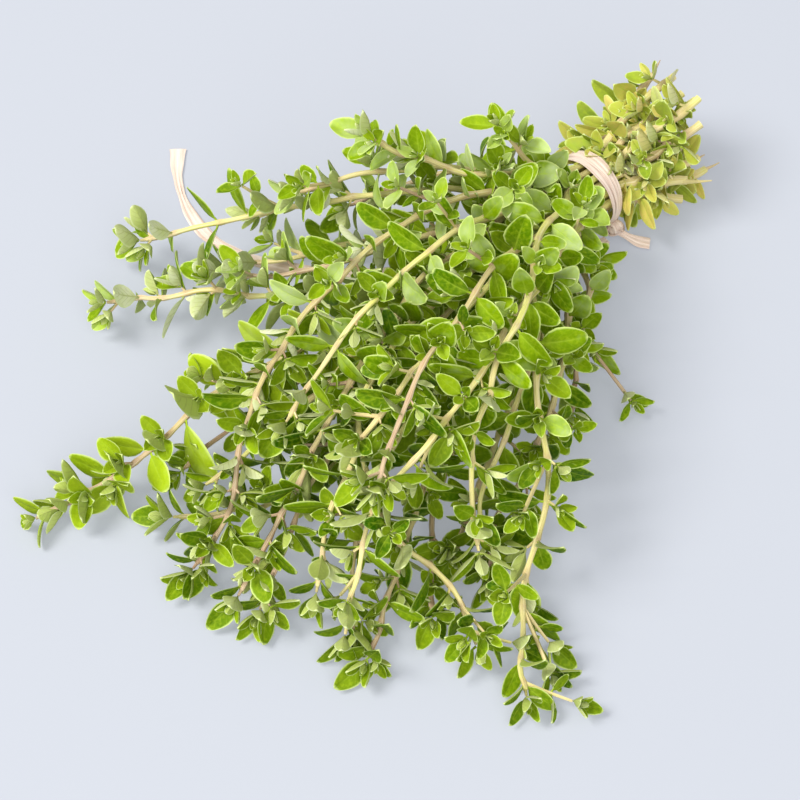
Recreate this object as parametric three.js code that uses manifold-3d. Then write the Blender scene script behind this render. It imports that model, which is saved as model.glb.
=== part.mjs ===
// A bunch of fresh thyme, tied at the neck with a strip of raffia and lying on a table.
// Millimetres, +Z up. While it is laid out, x runs along the bunch from the tips to the cut ends,
// the tie is at x = 0 and y = 0, and the table is z = 0. The finished group is then centred over its base.
import * as THREE from "three";
import { mergeVertices } from "three/addons/utils/BufferGeometryUtils.js";
import Module from "manifold-3d";

const wasm = await Module();
wasm.setup();

const { Vector3 } = THREE;
const DEGREE = Math.PI / 180;

// Tie: a flat strip of raffia wound round the neck, with its knot low down on one side.
const TIE_BORE = 9.75;
const TIE_THICKNESS = 0.9;
const TIE_WIDTH = 5.4;
const TIE_SEGMENTS = 24;
const KNOT_BELOW = 35 * DEGREE;
const KNOT_REACH = 12.2;
const KNOT_HALF = [2.9, 2.4, 2.4];
const STRIP_WIDTH = 4.6;
const STRIP_THICKNESS = 0.8;
const STUB_WIDTH = 3.7;
const STUB_STEPS = 5;
const TAIL_STEPS = 14;

// Neck: the stems stand in rows, packed like pencils, inside the tie. One flat of the tie lies on the table.
const NECK_HEIGHT = (TIE_BORE + TIE_THICKNESS) * Math.cos(Math.PI / TIE_SEGMENTS);
const STEM_PITCH = 2.84;
const NECK_ROWS = [3, 4, 5, 6, 5, 4, 3];
const NECK_HALF = 5;
const NECK_REACH = 9;
const END_LENGTH = [17, 36];
const END_SPLAY = [1.5, 2.6];
const FAN_PLANE = 45;

// Stems are square, as in the mint family, and taper from the cut end to the tip.
const STEM_RADIUS = 1.2;
const TIP_RADIUS = 0.65;
const SHOOT_RADIUS = 0.6;
const STEM_SIDES = 4;
const NECK_EASE = 9;
const STEM_GAP = 1;
const STEM_FLOOR = 3.4;
const BEND_ROUNDS = 150;
const BEND_STEP = 2.5;
const BEND_SHARE = 0.25;

// Leaves: ovate, folded along the midrib, in opposite pairs that turn by a quarter from pair to pair.
const LEAF_LENGTH = 11;
const LEAF_WIDTH = 6.4;
const LEAF_THICKNESS = 0.72;
const LEAF_FOLD = 0.3;
const LEAF_OUTLINE = [[0, 0], [0.38, 1], [0.76, 0.68], [1, 0], [0.76, -0.68], [0.38, -1]];
const LEAF_FACETS = [[0, 1, 5], [1, 2, 3], [1, 3, 5], [3, 4, 5]];
const PAIR_SPACING = [6, 12, 16, 19, 22];
const PAIR_ANGLES = [48 * DEGREE, 58 * DEGREE, 64 * DEGREE];
const PAIR_SCALES = [0.72, 0.85, 1];
const ROOT_SHARE = 0.45;
const ROOT_AHEAD = 0.4;
const TIP_STUB = 1.8;
const LEAF_START = 7;
const OLD_LEAF_SHARE = 0.6;
const OLD_LEAF_PLACES = [0.2, 0.62];
const OLD_LEAF_ANGLE = 85 * DEGREE;

// Side shoots: short and leafy, in the angle of a leaf.
const SHOOT_RANKS = [2, 4];
const SHOOT_SHARE = 0.15;
const SHOOT_LENGTH = 13;
const SHOOT_ANGLE = 38 * DEGREE;
const SHOOT_LEAF_SCALE = 0.72;

// Clearance, between the points that stand for each leaf and stem.
const LEAF_GAP = 2.15;
const OWN_LEAF_GAP = 1.3;
const STEM_MARGIN = 0.95;
const SAMPLE_SHARES = [0.2, 0.36, 0.52, 0.68, 0.84, 1];
const SAMPLE_ACROSS = [-0.92, -0.46, 0, 0.46, 0.92];
const SAMPLE_STEP = 1.5;
const NEAR = 12;
const LEAF_TRIES = 5;
const LIFTS = 16;
const LIFT_STEP = 0.12;
const LEAST_HEIGHT = 0.1;

// The route of each stem, from the tie to its tip.
const ROUTES = [
  [[-24, 9, 24], [-42, 16, 27], [-55, 26, 26], [-68, 39, 22], [-83, 50, 17], [-98, 62, 12]],
  [[-35, 5, 15], [-60, 7, 16], [-80, 11, 16], [-92, 25, 16], [-103, 40, 14], [-116, 53, 9]],
  [[-32, 1, 32], [-53, 4, 38], [-79, 2, 38], [-98, -2, 35], [-117, -5, 28], [-129, -14, 18], [-139, -20, 10],
    [-150, -22, 5]],
  [[-47, -4, 19], [-77, -1, 20], [-102, 4, 19], [-119, 8, 16], [-139, 8, 10], [-154, 10, 6], [-168, 14, 4]],
  [[-56, -14, 24], [-91, -23, 25], [-118, -29, 20], [-134, -35, 11], [-146, -41, 5]],
  [[-52, -17, 13], [-88, -37, 13], [-111, -52, 9], [-127, -62, 6], [-136, -67, 4]],
  [[-51, -12, 29], [-84, -19, 33], [-110, -32, 31], [-118, -48, 25], [-117, -60, 18], [-113, -70, 12],
    [-117, -81, 6]],
  [[-37, -21, 26], [-60, -38, 33], [-71, -54, 30], [-79, -65, 26], [-88, -73, 20], [-101, -81, 11],
    [-110, -88, 7], [-117, -98, 4]],
  [[-30, -24, 13], [-50, -40, 15], [-63, -50, 14], [-78, -56, 10], [-92, -61, 7], [-101, -69, 4]],
  [[-53, -22, 37], [-86, -33, 42], [-101, -36, 40], [-115, -38, 33], [-126, -42, 24], [-136, -49, 11]],
  [[-51, -31, 34], [-80, -44, 39], [-97, -49, 38], [-110, -50, 35], [-122, -52, 27], [-130, -55, 17],
    [-137, -60, 7]],
  [[-50, -7, 33], [-78, -14, 35], [-100, -21, 32], [-116, -26, 26], [-130, -31, 18], [-148, -36, 7]],
  [[-27, 3, 33], [-42, 10, 38], [-50, 17, 43], [-54, 23, 47]],
  [[-16, 2, 26], [-22, 5, 35], [-25, 8, 42]],
  [[-17, -18, 9], [-32, -32, 10], [-45, -41, 7], [-52, -47, 5]],
  [[-33, 16, 8], [-57, 28, 8], [-74, 37, 7], [-84, 46, 5]],
  [[-44, 3, 9], [-74, 4, 9], [-103, 2, 8], [-122, 4, 6], [-134, 2, 5]],
  [[-51, -9, 9], [-90, -20, 9], [-118, -25, 7], [-133, -18, 5], [-144, -8, 4]],
  [[-52, -21, 8], [-85, -38, 8], [-106, -54, 6], [-118, -68, 4]],
  [[-37, -16, 8], [-63, -37, 8], [-85, -49, 7], [-103, -60, 6]],
  [[-45, -8, 38], [-67, -11, 44], [-90, -15, 44], [-106, -17, 38], [-118, -19, 30]],
  [[-44, -20, 38], [-72, -30, 46], [-92, -38, 47], [-107, -44, 42], [-117, -49, 34]],
  [[-36, -18, 36], [-56, -34, 42], [-75, -46, 42], [-90, -53, 36], [-99, -59, 27], [-103, -67, 15]],
  [[-28, -16, 20], [-49, -33, 24], [-70, -46, 24], [-84, -53, 19], [-95, -58, 13], [-98, -67, 7]],
  [[-39, -6, 25], [-66, -10, 28], [-89, -13, 27], [-109, -14, 22], [-122, -12, 15], [-134, -8, 9]],
  [[-44, -16, 24], [-75, -27, 27], [-99, -36, 25], [-117, -43, 17], [-127, -50, 9], [-134, -59, 5]],
  [[-28, 13, 28], [-40, 21, 30], [-55, 29, 31], [-67, 35, 29]],
  [[-14, 9, 22], [-24, 20, 20], [-36, 30, 16], [-50, 36, 12]],
  [[-40, 3, 23], [-61, 9, 25], [-77, 16, 23], [-88, 27, 19], [-92, 36, 15]],
  [[-27, -22, 5], [-47, -37, 6], [-61, -48, 5]],
];

// The long free end of the strip, from the knot along the table and under the foliage.
const TAIL_ROUTE = [
  [-3.4, -10.4, 2], [-5.2, -10.2, 1.9], [-7.5, -9.4, 1.1], [-10, -8, 0.55], [-13.5, -5.6, 0.45],
  [-18, -2.4, 0.45], [-25, 2, 0.45],
  [-32, 6, 0.45], [-40, 11, 0.45], [-48, 16.5, 0.45], [-56, 22.5, 0.45], [-63, 29, 0.45], [-69, 36, 0.45],
  [-74, 43.5, 0.45], [-77.5, 52, 0.45], [-79, 61, 0.45], [-77.5, 70, 0.45], [-74.5, 78, 0.45],
  [-70, 85.5, 0.45], [-64.5, 92, 0.45],
];
const STUB_ROUTE = [[0, -10.5, 3.4], [1.2, -13.2, 2.4], [2.8, -15.8, 1.3], [4.8, -18.2, 0.9]];

/** Draws in [0, 1) that are the same on every run. */
function draws(...keys) {
  let state = 2166136261;
  for (const key of keys) {
    state = Math.imul(state ^ (key + 1), 16777619) >>> 0;
  }
  return () => {
    state = (state + 0x6d2b79f5) >>> 0;
    let bits = Math.imul(state ^ (state >>> 15), state | 1);
    bits ^= bits + Math.imul(bits ^ (bits >>> 7), bits | 61);
    return ((bits ^ (bits >>> 14)) >>> 0) / 4294967296;
  };
}

const between = ([low, high], share) => low + (high - low) * share;
const entry = (list, index) => list[Math.min(index, list.length - 1)];

// ---- Lines of points ----

/** Rounds the corners of a line: each pass cuts every corner at its quarters. */
function soften(points, passes) {
  let line = points;
  for (let pass = 0; pass < passes; pass += 1) {
    const cut = [line[0]];
    for (let i = 0; i + 1 < line.length; i += 1) {
      cut.push(line[i].clone().lerp(line[i + 1], 0.25), line[i].clone().lerp(line[i + 1], 0.75));
    }
    cut.push(line[line.length - 1]);
    line = cut;
  }
  return line;
}

/** The way walked along a line at each of its points. */
function waysAlong(points) {
  const ways = [0];
  for (let i = 1; i < points.length; i += 1) {
    ways.push(ways[i - 1] + points[i].distanceTo(points[i - 1]));
  }
  return ways;
}

/** The point a given way along a line. */
function pointAt(points, ways, way) {
  let i = 1;
  while (i < points.length - 1 && ways[i] < way) {
    i += 1;
  }
  const share = (way - ways[i - 1]) / (ways[i] - ways[i - 1]);
  return points[i - 1].clone().lerp(points[i], share);
}

// ---- Stems ----

/** Places in the neck, row by row from the bottom. */
function neckPlaces() {
  const rowHeight = STEM_PITCH * Math.sqrt(3) / 2;
  const middleRow = (NECK_ROWS.length - 1) / 2;
  return NECK_ROWS.map((count, row) => Array.from({ length: count }, (_, i) => ({
    y: (i - (count - 1) / 2) * STEM_PITCH,
    z: NECK_HEIGHT + (row - middleRow) * rowHeight,
  })));
}

/** Where a route crosses the plane of the fan, or would if it were long enough. */
function aim(route) {
  const i = route.findIndex(([x]) => x <= -FAN_PLANE);
  const [[xa, ya, za], [xb, yb, zb]] = i > 0 ? [route[i - 1], route[i]] : [[0, 0, NECK_HEIGHT], route[Math.max(i, 0)]];
  const share = (-FAN_PLANE - xa) / (xb - xa);
  return { across: ya + (yb - ya) * share, height: za + (zb - za) * share };
}

/** Gives each route a place in the neck: low ones at the bottom, and each row in the order of its fan. */
function assignPlaces(routes) {
  const aims = routes.map(aim);
  const byHeight = routes.map((_, index) => index).sort((a, b) => aims[a].height - aims[b].height || a - b);
  const places = [];
  let taken = 0;
  for (const row of neckPlaces()) {
    const chosen = byHeight.slice(taken, taken + row.length);
    chosen.sort((a, b) => aims[a].across - aims[b].across || a - b);
    chosen.forEach((index, i) => {
      places[index] = row[i];
    });
    taken += row.length;
  }
  return places;
}

/** The path of a stem, from its cut end through the neck to its tip. */
function stemPath(route, place, index) {
  const draw = draws(index, 1);
  const length = between(END_LENGTH, draw());
  const splay = between(END_SPLAY, draw());
  const endHeight = Math.max(NECK_HEIGHT + (place.z - NECK_HEIGHT) * splay, STEM_FLOOR);
  return soften([
    new Vector3(length, place.y * splay, endHeight),
    new Vector3(NECK_REACH, place.y, place.z),
    new Vector3(-NECK_REACH, place.y, place.z),
    ...route.map((point) => new Vector3(...point)),
  ], 3);
}

/** A stem's stops, from the cut end: one at each pair of leaves, at both ends and on both sides of the tie. */
function stemStops(path) {
  const ways = waysAlong(path);
  const total = ways[ways.length - 1];
  const wayTo = (x) => {
    const i = path.findIndex((point) => point.x < x);
    return ways[i - 1] + (ways[i] - ways[i - 1]) * (path[i - 1].x - x) / (path[i - 1].x - path[i].x);
  };
  const [neckBack, neckFront] = [wayTo(NECK_HALF), wayTo(-NECK_HALF)];
  const stops = [{ way: total }];
  let way = total - TIP_STUB;
  for (let rank = 0; way > neckFront + LEAF_START; rank += 1) {
    stops.push({ way, rank });
    way -= entry(PAIR_SPACING, rank);
  }
  if (stops[stops.length - 1].way > neckFront + 2 * NECK_EASE) {
    stops.push({ way: neckFront + NECK_EASE });
  }
  stops.push({ way: neckFront, fixed: true }, { way: neckBack, fixed: true });
  stops.push(...OLD_LEAF_PLACES.map((share, old) => ({ way: neckBack * (1 - share), old })));
  stops.push({ way: 0 });
  stops.reverse();
  for (const stop of stops) {
    stop.point = pointAt(path, ways, stop.way);
    stop.radius = between([STEM_RADIUS, TIP_RADIUS], stop.way / total);
  }
  return stops;
}

/** Points spread along a line of stops, each with the stop before it and its share of the span after that. */
function spread(stops, step) {
  return stops.slice(1).flatMap((stop, i) => {
    const count = Math.ceil(stop.point.distanceTo(stops[i].point) / step);
    return Array.from({ length: count }, (_, k) => {
      const share = (k + 0.5) / count;
      return { span: i, share, radius: stop.radius, point: stops[i].point.clone().lerp(stop.point, share) };
    });
  });
}

/** Bends the stems clear of each other and of the table. In the neck they stay straight. */
function bendClear(lines) {
  for (let round = 0; round < BEND_ROUNDS; round += 1) {
    const spreads = lines.map((stops) => spread(stops, BEND_STEP));
    const pushes = lines.map((stops) => stops.map(() => new Vector3()));
    const push = (line, mark, way) => {
      pushes[line][mark.span].addScaledVector(way, 1 - mark.share);
      pushes[line][mark.span + 1].addScaledVector(way, mark.share);
    };
    for (let a = 0; a < lines.length; a += 1) {
      for (let b = a + 1; b < lines.length; b += 1) {
        for (const p of spreads[a]) {
          for (const q of spreads[b]) {
            const apart = p.point.distanceTo(q.point);
            const least = p.radius + q.radius + STEM_GAP;
            if (apart < least) {
              const way = p.point.clone().sub(q.point).multiplyScalar(BEND_SHARE * (least - apart) / apart);
              push(a, p, way);
              push(b, q, way.negate());
            }
          }
        }
      }
    }
    lines.forEach((stops, line) => stops.forEach((stop, i) => {
      if (!stop.fixed) {
        stop.point.add(pushes[line][i]);
        stop.point.z = Math.max(stop.point.z, STEM_FLOOR);
      }
    }));
  }
}

/** Adds to each stop of a line its direction, and a side direction that doesn't twist on the way. */
function withFrames(stops) {
  let side = new Vector3(0.3, 0.4, 1);
  stops.forEach((stop, i) => {
    const before = stops[Math.max(i - 1, 0)].point;
    const after = stops[Math.min(i + 1, stops.length - 1)].point;
    stop.along = after.clone().sub(before).normalize();
    side = side.clone().addScaledVector(stop.along, -side.dot(stop.along)).normalize();
    stop.side = side;
  });
  return stops;
}

// ---- Leaves ----

/** Direction at an angle from a stem's own, on a side given by a turn about the stem. */
function outward(stop, turn, angle) {
  const across = stop.along.clone().cross(stop.side);
  return stop.along.clone().multiplyScalar(Math.cos(angle))
    .addScaledVector(stop.side, Math.cos(turn) * Math.sin(angle))
    .addScaledVector(across, Math.sin(turn) * Math.sin(angle));
}

/** A point of a leaf's middle surface: the share of its length, and of its half width on either side. */
function leafPoint(leaf, share, across) {
  const half = leaf.width / 2;
  return leaf.root.clone()
    .addScaledVector(leaf.direction, share * leaf.length)
    .addScaledVector(leaf.side, across * half)
    .addScaledVector(leaf.top, Math.abs(across) * half * LEAF_FOLD);
}

/** A leaf growing from a stop of a stem, its upper face turned to the stem's tip, or none that clears the table. */
function makeLeaf(stop, turn, angle, scale) {
  const leaf = { length: LEAF_LENGTH * scale, width: LEAF_WIDTH * scale };
  const direction = outward(stop, turn, angle);
  for (let lift = 0; lift < LIFTS; lift += 1) {
    leaf.direction = direction.clone();
    leaf.root = stop.point.clone().addScaledVector(stop.along, ROOT_AHEAD)
      .addScaledVector(direction, ROOT_SHARE * stop.radius);
    leaf.top = stop.along.clone().addScaledVector(direction, -stop.along.dot(direction)).normalize();
    leaf.side = direction.clone().cross(leaf.top);
    const lowest = Math.min(...LEAF_OUTLINE.map(([share, across]) => leafPoint(leaf, share, across).z));
    if (lowest > LEAST_HEIGHT + LEAF_THICKNESS / 2) {
      return leaf;
    }
    direction.addScaledVector(stop.along, LIFT_STEP / 2);
    direction.z += LIFT_STEP;
    direction.normalize();
  }
  return null;
}

/** How wide a leaf is, as a share of its full width, at a share of its length. */
function leafProfile(share) {
  const i = LEAF_OUTLINE.findIndex(([reach]) => reach >= share);
  const [[reachA, wideA], [reachB, wideB]] = [LEAF_OUTLINE[i - 1], LEAF_OUTLINE[i]];
  return wideA + (wideB - wideA) * (share - reachA) / (reachB - reachA);
}

/** Points all over a leaf, which stand for it where clearance is tested. */
function leafSamples(leaf) {
  return SAMPLE_SHARES.flatMap((share) => SAMPLE_ACROSS.map((across) => (
    leafPoint(leaf, share, across * leafProfile(share)))));
}

/** Points along a stem, with the distance that a leaf's points keep from each. */
function stemSamples(stops, owner) {
  return spread(stops, SAMPLE_STEP).map(({ point, radius }) => (
    { point, owner, gap: radius + STEM_MARGIN, ownGap: -1 }));
}

// ---- Growth: every leaf takes the first of a few seeded attitudes that stands clear ----

const taken = [];

/** Whether points stand clear of all that is placed. A sprig's own stem and leaf roots may touch it. */
function standsClear(points, owner, extra = 0) {
  const centre = points[Math.floor(points.length / 2)];
  const close = taken.filter((mark) => mark.point.distanceTo(centre) < NEAR);
  return points.every((point) => close.every((mark) => (
    point.distanceTo(mark.point) > (mark.owner === owner ? mark.ownGap : mark.gap + extra))));
}

/** Grows one leaf at a stop, or none where no attitude stands clear. */
function growLeaf(sprig, stop, turn, angle, scale, keys) {
  for (let attempt = 0; attempt < LEAF_TRIES; attempt += 1) {
    const draw = draws(sprig.index, ...keys, attempt);
    const looseness = 0.16 + 0.25 * attempt;
    const leaf = makeLeaf(
      stop,
      turn + (draw() - 0.5) * 2 * looseness,
      angle + (draw() - 0.5) * looseness,
      scale * (0.92 + 0.2 * draw()) * (1 - 0.05 * attempt),
    );
    const samples = leaf ? leafSamples(leaf) : [];
    if (leaf && standsClear(samples, sprig.index)) {
      const outer = SAMPLE_SHARES.findIndex((share) => share > 0.4) * SAMPLE_ACROSS.length;
      samples.forEach((point, i) => {
        taken.push({ point, owner: sprig.index, gap: LEAF_GAP, ownGap: i < outer ? -1 : OWN_LEAF_GAP });
      });
      sprig.leaves.push(leaf);
      return;
    }
  }
}

/** The turn of the flat of a stem that faces away from the middle of the bunch. */
function outerTurn(stop) {
  const away = new Vector3(0, stop.point.y, stop.point.z - NECK_HEIGHT);
  const across = stop.along.clone().cross(stop.side);
  const turn = Math.atan2(away.dot(across), away.dot(stop.side));
  return (Math.floor(turn / (Math.PI / 2)) + 0.5) * Math.PI / 2;
}

/** Grows an opposite pair of leaves. */
function growPair(sprig, stop, turn, angle, scale, keys) {
  for (const half of [0, 1]) {
    growLeaf(sprig, stop, turn + half * Math.PI, angle, scale, [...keys, half]);
  }
}

/** Grows a short leafy shoot in the angle of a leaf, where there is room for it. */
function growShoot(sprig, stop, turn, keys) {
  for (let attempt = 0; attempt < LEAF_TRIES; attempt += 1) {
    const draw = draws(sprig.index, ...keys, attempt);
    const heading = outward(stop, turn + (draw() - 0.5) * (0.6 + 0.3 * attempt), SHOOT_ANGLE + (draw() - 0.3) * 0.6);
    const length = SHOOT_LENGTH * (0.8 + 0.5 * draw());
    const stops = withFrames([0, length, length + TIP_STUB].map((reach) => ({
      point: stop.point.clone().addScaledVector(heading, reach),
      radius: SHOOT_RADIUS,
    })));
    const marks = stemSamples(stops, sprig.index);
    const low = stops[2].point.z < STEM_FLOOR;
    if (!low && standsClear(marks.map((mark) => mark.point), sprig.index, SHOOT_RADIUS)) {
      taken.push(...marks);
      sprig.shoots.push(stops);
      growPair(sprig, stops[1], turn, PAIR_ANGLES[0], SHOOT_LEAF_SCALE, [...keys, 50]);
      return;
    }
  }
}

/** Lays out every sprig: first the stems, then leaves and shoots from the tips inward, turn by turn. */
function growSprigs() {
  const places = assignPlaces(ROUTES);
  const lines = ROUTES.map((route, index) => stemStops(stemPath(route, places[index], index)));
  bendClear(lines);
  const sprigs = lines.map((stops, index) => ({ index, stops: withFrames(stops), leaves: [], shoots: [] }));
  for (const sprig of sprigs) {
    taken.push(...stemSamples(sprig.stops, sprig.index));
  }
  const mostPairs = Math.max(...sprigs.map((sprig) => sprig.stops.length));
  for (let rank = 0; rank < mostPairs; rank += 1) {
    for (const sprig of sprigs) {
      const stop = sprig.stops.find((candidate) => candidate.rank === rank);
      if (stop) {
        const turn = Math.PI / 4 + rank * Math.PI / 2;
        growPair(sprig, stop, turn, entry(PAIR_ANGLES, rank), entry(PAIR_SCALES, rank), [10, rank]);
        if (SHOOT_RANKS.includes(rank) && draws(sprig.index, 2, rank)() < SHOOT_SHARE) {
          growShoot(sprig, stop, turn, [20, rank]);
        }
      }
    }
  }
  for (const sprig of sprigs) {
    for (const stop of sprig.stops.filter((candidate) => candidate.old !== undefined)) {
      if (draws(sprig.index, 3, stop.old)() < OLD_LEAF_SHARE) {
        growLeaf(sprig, stop, outerTurn(stop), OLD_LEAF_ANGLE, 1, [30, stop.old]);
      }
    }
  }
  return sprigs;
}

// ---- Solids ----

/** A closed solid from a geometry, for joining. */
function toSolid(geometry) {
  const bare = geometry.clone();
  bare.deleteAttribute("normal");
  bare.deleteAttribute("uv");
  const merged = mergeVertices(bare, 1e-4);
  return new wasm.Manifold(new wasm.Mesh({
    numProp: 3,
    vertProperties: new Float32Array(merged.attributes.position.array),
    triVerts: new Uint32Array(merged.index.array),
  }));
}

/** The largest body of a joined solid as a geometry: loose scraps are dropped and sealed hollows filled. */
function toGeometry(solid) {
  const bodies = solid.decompose().sort((a, b) => b.volume() - a.volume());
  const mesh = bodies[0].getMesh();
  const geometry = new THREE.BufferGeometry();
  geometry.setAttribute("position", new THREE.BufferAttribute(mesh.vertProperties, 3));
  geometry.setIndex(new THREE.BufferAttribute(mesh.triVerts, 1));
  geometry.computeVertexNormals();
  return geometry;
}

/** A closed geometry from corner points and triangles. */
function closedGeometry(points, triangles) {
  const geometry = new THREE.BufferGeometry().setFromPoints(points);
  geometry.setIndex(triangles.flat());
  return geometry;
}

/** A tapering square stem through its stops. */
function stemGeometry(stops) {
  const points = stops.flatMap((stop) => {
    const across = stop.along.clone().cross(stop.side);
    return Array.from({ length: STEM_SIDES }, (_, k) => {
      const turn = 2 * Math.PI * k / STEM_SIDES;
      return stop.point.clone()
        .addScaledVector(stop.side, stop.radius * Math.cos(turn))
        .addScaledVector(across, stop.radius * Math.sin(turn));
    });
  });
  const triangles = [];
  for (let ring = 0; ring + 1 < stops.length; ring += 1) {
    for (let k = 0; k < STEM_SIDES; k += 1) {
      const a = ring * STEM_SIDES + k;
      const b = ring * STEM_SIDES + (k + 1) % STEM_SIDES;
      triangles.push([a, b, b + STEM_SIDES], [a, b + STEM_SIDES, a + STEM_SIDES]);
    }
  }
  const last = (stops.length - 1) * STEM_SIDES;
  for (let k = 2; k < STEM_SIDES; k += 1) {
    triangles.push([0, k, k - 1], [last, last + k - 1, last + k]);
  }
  return closedGeometry(points, triangles);
}

/** A leaf: both faces in the same triangles, joined round the edge. */
function leafGeometry(leaf) {
  const count = LEAF_OUTLINE.length;
  const faces = [1, -1].map((face) => LEAF_OUTLINE.map(([share, across]) => (
    leafPoint(leaf, share, across).addScaledVector(leaf.top, face * LEAF_THICKNESS / 2))));
  const triangles = LEAF_FACETS.flatMap(([a, b, c]) => [[a, b, c], [count + a, count + c, count + b]]);
  for (let k = 0; k < count; k += 1) {
    const next = (k + 1) % count;
    triangles.push([k, count + k, count + next], [k, count + next, next]);
  }
  return closedGeometry(faces.flat(), triangles);
}

/** One sprig as one body: its stem, shoots and leaves, joined. */
function sprigGeometry(sprig) {
  const pieces = [...sprig.shoots.map(stemGeometry), ...sprig.leaves.map(leafGeometry)];
  return toGeometry(pieces.reduce((solid, piece) => solid.add(toSolid(piece)), toSolid(stemGeometry(sprig.stops))));
}

/** A strip of raffia along a route: a flat section with blunt edges. */
function stripGeometry(route, width, steps) {
  const edge = STRIP_THICKNESS / 4;
  const [halfThick, halfWide] = [STRIP_THICKNESS / 2, width / 2];
  const corners = [
    [halfThick, halfWide - edge], [halfThick - edge, halfWide], [edge - halfThick, halfWide],
    [-halfThick, halfWide - edge], [-halfThick, edge - halfWide], [edge - halfThick, -halfWide],
    [halfThick - edge, -halfWide], [halfThick, edge - halfWide],
  ];
  const section = new THREE.Shape(corners.map(([x, y]) => new THREE.Vector2(x, y)));
  const extrudePath = new THREE.CatmullRomCurve3(route.map((point) => new Vector3(...point)));
  return new THREE.ExtrudeGeometry(section, { steps, extrudePath });
}

/** The tie: its band round the neck, the knot and the short free end. */
function tieGeometry() {
  const half = TIE_WIDTH / 2;
  const outer = TIE_BORE + TIE_THICKNESS;
  const profile = [[TIE_BORE, -half], [outer, -half], [outer, half], [TIE_BORE, half], [TIE_BORE, -half]];
  const band = new THREE.LatheGeometry(
    profile.map(([radius, reach]) => new THREE.Vector2(radius, reach)),
    TIE_SEGMENTS,
    Math.PI / TIE_SEGMENTS,
  );
  band.rotateZ(Math.PI / 2).translate(0, 0, NECK_HEIGHT);
  const knot = new THREE.SphereGeometry(1, 8, 6).scale(...KNOT_HALF).translate(
    0,
    -KNOT_REACH * Math.cos(KNOT_BELOW),
    NECK_HEIGHT - KNOT_REACH * Math.sin(KNOT_BELOW),
  );
  const stub = stripGeometry(STUB_ROUTE, STUB_WIDTH, STUB_STEPS);
  return toGeometry(toSolid(band).add(toSolid(knot)).add(toSolid(stub)));
}

// ---- The bunch ----

const LEAF_GREENS = [0x5f8f2c, 0x6c9c33, 0x557f2a, 0x77a63d];
const RAFFIA = 0xd9b9a2;

/** Marks the tie and its free ends as taken, so that no leaf grows into them. */
function markTie() {
  for (let k = 0; k < TIE_SEGMENTS; k += 1) {
    const turn = 2 * Math.PI * k / TIE_SEGMENTS;
    for (const x of [-TIE_WIDTH / 2, 0, TIE_WIDTH / 2]) {
      const radius = TIE_BORE + TIE_THICKNESS / 2;
      const point = new Vector3(x, radius * Math.cos(turn), NECK_HEIGHT + radius * Math.sin(turn));
      taken.push({ point, gap: 2.6 });
    }
  }
  const knot = new Vector3(0, -KNOT_REACH * Math.cos(KNOT_BELOW), NECK_HEIGHT - KNOT_REACH * Math.sin(KNOT_BELOW));
  taken.push({ point: knot, gap: KNOT_HALF[0] + 1.2 });
  for (const route of [TAIL_ROUTE, STUB_ROUTE]) {
    const curve = new THREE.CatmullRomCurve3(route.map((point) => new Vector3(...point)));
    const steps = Math.ceil(curve.getLength() / SAMPLE_STEP);
    for (let k = 0; k <= steps; k += 1) {
      taken.push({ point: curve.getPoint(k / steps), gap: STRIP_WIDTH / 2 + 1 });
    }
  }
}

function named(name, geometry, color, roughness) {
  const mesh = new THREE.Mesh(geometry, new THREE.MeshStandardMaterial({ color, roughness, metalness: 0 }));
  mesh.name = name;
  return mesh;
}

const bunch = new THREE.Group();
bunch.name = "thyme_bundle";
markTie();
const sprigs = growSprigs();
for (const sprig of sprigs) {
  const name = `sprig_${String(sprig.index + 1).padStart(2, "0")}`;
  bunch.add(named(name, sprigGeometry(sprig), LEAF_GREENS[sprig.index % LEAF_GREENS.length], 0.6));
}
bunch.add(named("tie", tieGeometry(), RAFFIA, 0.8));

const base = new THREE.Box3().setFromObject(bunch);
bunch.add(named("tie_tail", stripGeometry(TAIL_ROUTE, STRIP_WIDTH, TAIL_STEPS), RAFFIA, 0.8));
bunch.position.set(-(base.min.x + base.max.x) / 2, -(base.min.y + base.max.y) / 2, -base.min.z);
bunch.updateMatrixWorld(true);

export default bunch;
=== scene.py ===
"""A bunch of fresh thyme, tied at the neck with raffia and lying on a pale floor.

The sprigs are grown here by the rule that their solids follow, in the same layout in millimetres: x runs
along the bunch from the tips to the cut ends, the tie is at x = 0 and y = 0, and the floor is z = 0.
Every stem, leaf, shoot and strip is made finer than its solid, and small leaves fill in between the large.
"""

import math
from types import SimpleNamespace as Part

import bpy
import numpy as np
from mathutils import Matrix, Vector


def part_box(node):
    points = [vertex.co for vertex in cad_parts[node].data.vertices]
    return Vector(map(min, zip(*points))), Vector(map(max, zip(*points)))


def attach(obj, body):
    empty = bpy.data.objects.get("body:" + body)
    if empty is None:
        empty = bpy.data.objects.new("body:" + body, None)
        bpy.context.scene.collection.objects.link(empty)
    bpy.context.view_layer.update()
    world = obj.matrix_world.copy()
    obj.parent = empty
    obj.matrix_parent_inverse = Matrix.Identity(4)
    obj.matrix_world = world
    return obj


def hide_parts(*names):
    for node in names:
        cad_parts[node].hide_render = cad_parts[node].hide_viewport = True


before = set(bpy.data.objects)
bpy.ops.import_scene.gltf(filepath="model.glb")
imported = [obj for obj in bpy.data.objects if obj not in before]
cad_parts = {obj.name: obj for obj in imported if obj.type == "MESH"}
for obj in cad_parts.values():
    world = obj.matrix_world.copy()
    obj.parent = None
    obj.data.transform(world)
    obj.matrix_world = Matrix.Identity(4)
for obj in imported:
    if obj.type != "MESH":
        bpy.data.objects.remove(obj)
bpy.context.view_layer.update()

# Sizes are in millimetres and angles in radians, unless a name says degrees. Shares run from 0 to 1.
MM = 0.001
DEGREE = math.pi / 180
UP = np.array([0.0, 0.0, 1.0])

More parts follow.
